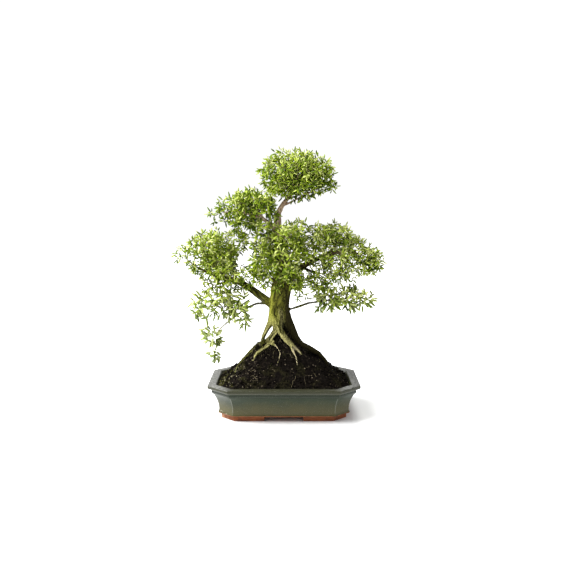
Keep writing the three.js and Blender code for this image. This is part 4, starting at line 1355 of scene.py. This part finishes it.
# %% Grow every spray
leaf_count = 0
for number, name in enumerate(sorted(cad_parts)):
    if not name.startswith("spray_"):
        continue
    own = name.removeprefix("spray_")
    rule = LOW if own.startswith("low") else PAD
    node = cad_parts[name]
    draw = np.random.default_rng(100 + number)
    low, high = (np.array(corner_thin_and_highlit) / MM - (TRAY_X / MM, 0, 0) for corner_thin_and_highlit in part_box(name))
    airy = AIRY.get(own, 1)
    room = rule["room"] * airy
    fill = [inside_points((low + high) / 2, (high - low) / 2 * rule["swell"], room, draw)]
    fill += [inside_points(*egg, room, draw) for egg in MORE.get(own, [])]
    form = surface_points(node, round(rule["form"] / airy), draw)
    goals = np.vstack([clip(form, 0), clip(np.vstack(fill), PAD_INSET)])
    points, parents = grow_twigs(first_seat(node), goals, rule["step"], draw)
    radii, ends = twig_sizes(parents, rule["tip"])
    twigs = thin_tubes("twigs", points, parents, radii)
    starts, ways, youth = leaf_places(points, parents, ends, rule, draw)
    shade = sum(value for part, value in SHADES.items() if own.startswith(part))
    leaves = leaf_copies(starts, ways, youth, rule, shade, draw)
    paint(leaves, LEAF_FINISH, TWIG_FINISH)
    paint(twigs, TWIG_FINISH)
    join(leaves, twigs)
    bpy.ops.object.shade_smooth()
    put_in_place(leaves, "leafy_" + own, name)
    leaf_count += len(starts)
print("leaves:", leaf_count)

# %% [markdown]
# ## Floor and light
# The photograph is a studio picture on white: a large soft light from the upper left,
# white all round, and a faint shadow to the right of the tray. The floor gives a little
# light of its own, most of it far away and beside the tray, so it fades to white as the
# paper does. It isn't part of the object.

# %% Light the scene
clear_selection()
bpy.ops.mesh.primitive_plane_add(size=14, location=(0, 0, 0))
floor = bpy.context.object
floor.name = "floor"
finish = Finish("white_floor", Roughness=0.9, Specular_IOR_Level=0.1, Emission_Strength=1.0)
away = finish.node("ShaderNodeVectorMath", {"operation": "LENGTH"}, {0: finish.place}, "Value")
# Painted light: the floor glows beside the tray, which lightens the tray's shadow there, and not
# under or in front of it.
beside = abs(finish.axis("X") - TRAY_X).between(0.134, 0.166)
near = finish.mix(beside, (0, 0, 0), (0.4, 0.4, 0.39))
glow = finish.mix(away.between(0.13, 0.34), near, (0.5, 0.5, 0.5))
glow = finish.mix(away.between(0.4, 2.0), glow, (0.9, 0.9, 0.9))
finish.set(Base_Color=(0.9, 0.9, 0.9), Emission_Color=glow)
paint(floor, finish.material)

# The room's own light on the plant, and the brightness of the paper behind it.
ROOM_LIGHT, PAPER_LIGHT = 0.56, 1.05
world = bpy.data.worlds.new("studio")
bpy.context.scene.world = world
world.use_nodes = True
nodes, links = world.node_tree.nodes, world.node_tree.links
indoors, paper = nodes["Background"], nodes.new("ShaderNodeBackground")
for backdrop, strength in ((indoors, ROOM_LIGHT), (paper, PAPER_LIGHT)):
    backdrop.inputs["Color"].default_value = (1, 1, 1, 1)
    backdrop.inputs["Strength"].default_value = strength
either = nodes.new("ShaderNodeMixShader")
seen = nodes.new("ShaderNodeLightPath")
links.new(seen.outputs["Is Camera Ray"], either.inputs[0])
links.new(indoors.outputs[0], either.inputs[1])
links.new(paper.outputs[0], either.inputs[2])
links.new(either.outputs[0], nodes["World Output"].inputs["Surface"])

# One large square soft light, in metres and watts.
LIGHT_PLACE, LIGHT_AIM = Vector((-1.9, -0.25, 2.5)), Vector((0, 0, 0.3))
LIGHT_SIZE, LIGHT_POWER = 2.3, 265
lamp = bpy.data.lights.new("soft_light", "AREA")
lamp.size = LIGHT_SIZE
lamp.energy = LIGHT_POWER
light = new_object("soft_light", lamp)
light.location = LIGHT_PLACE
light.rotation_euler = (LIGHT_AIM - LIGHT_PLACE).to_track_quat("-Z", "Y").to_euler()
bpy.context.scene.view_settings.view_transform = "Standard"
print("stage set")
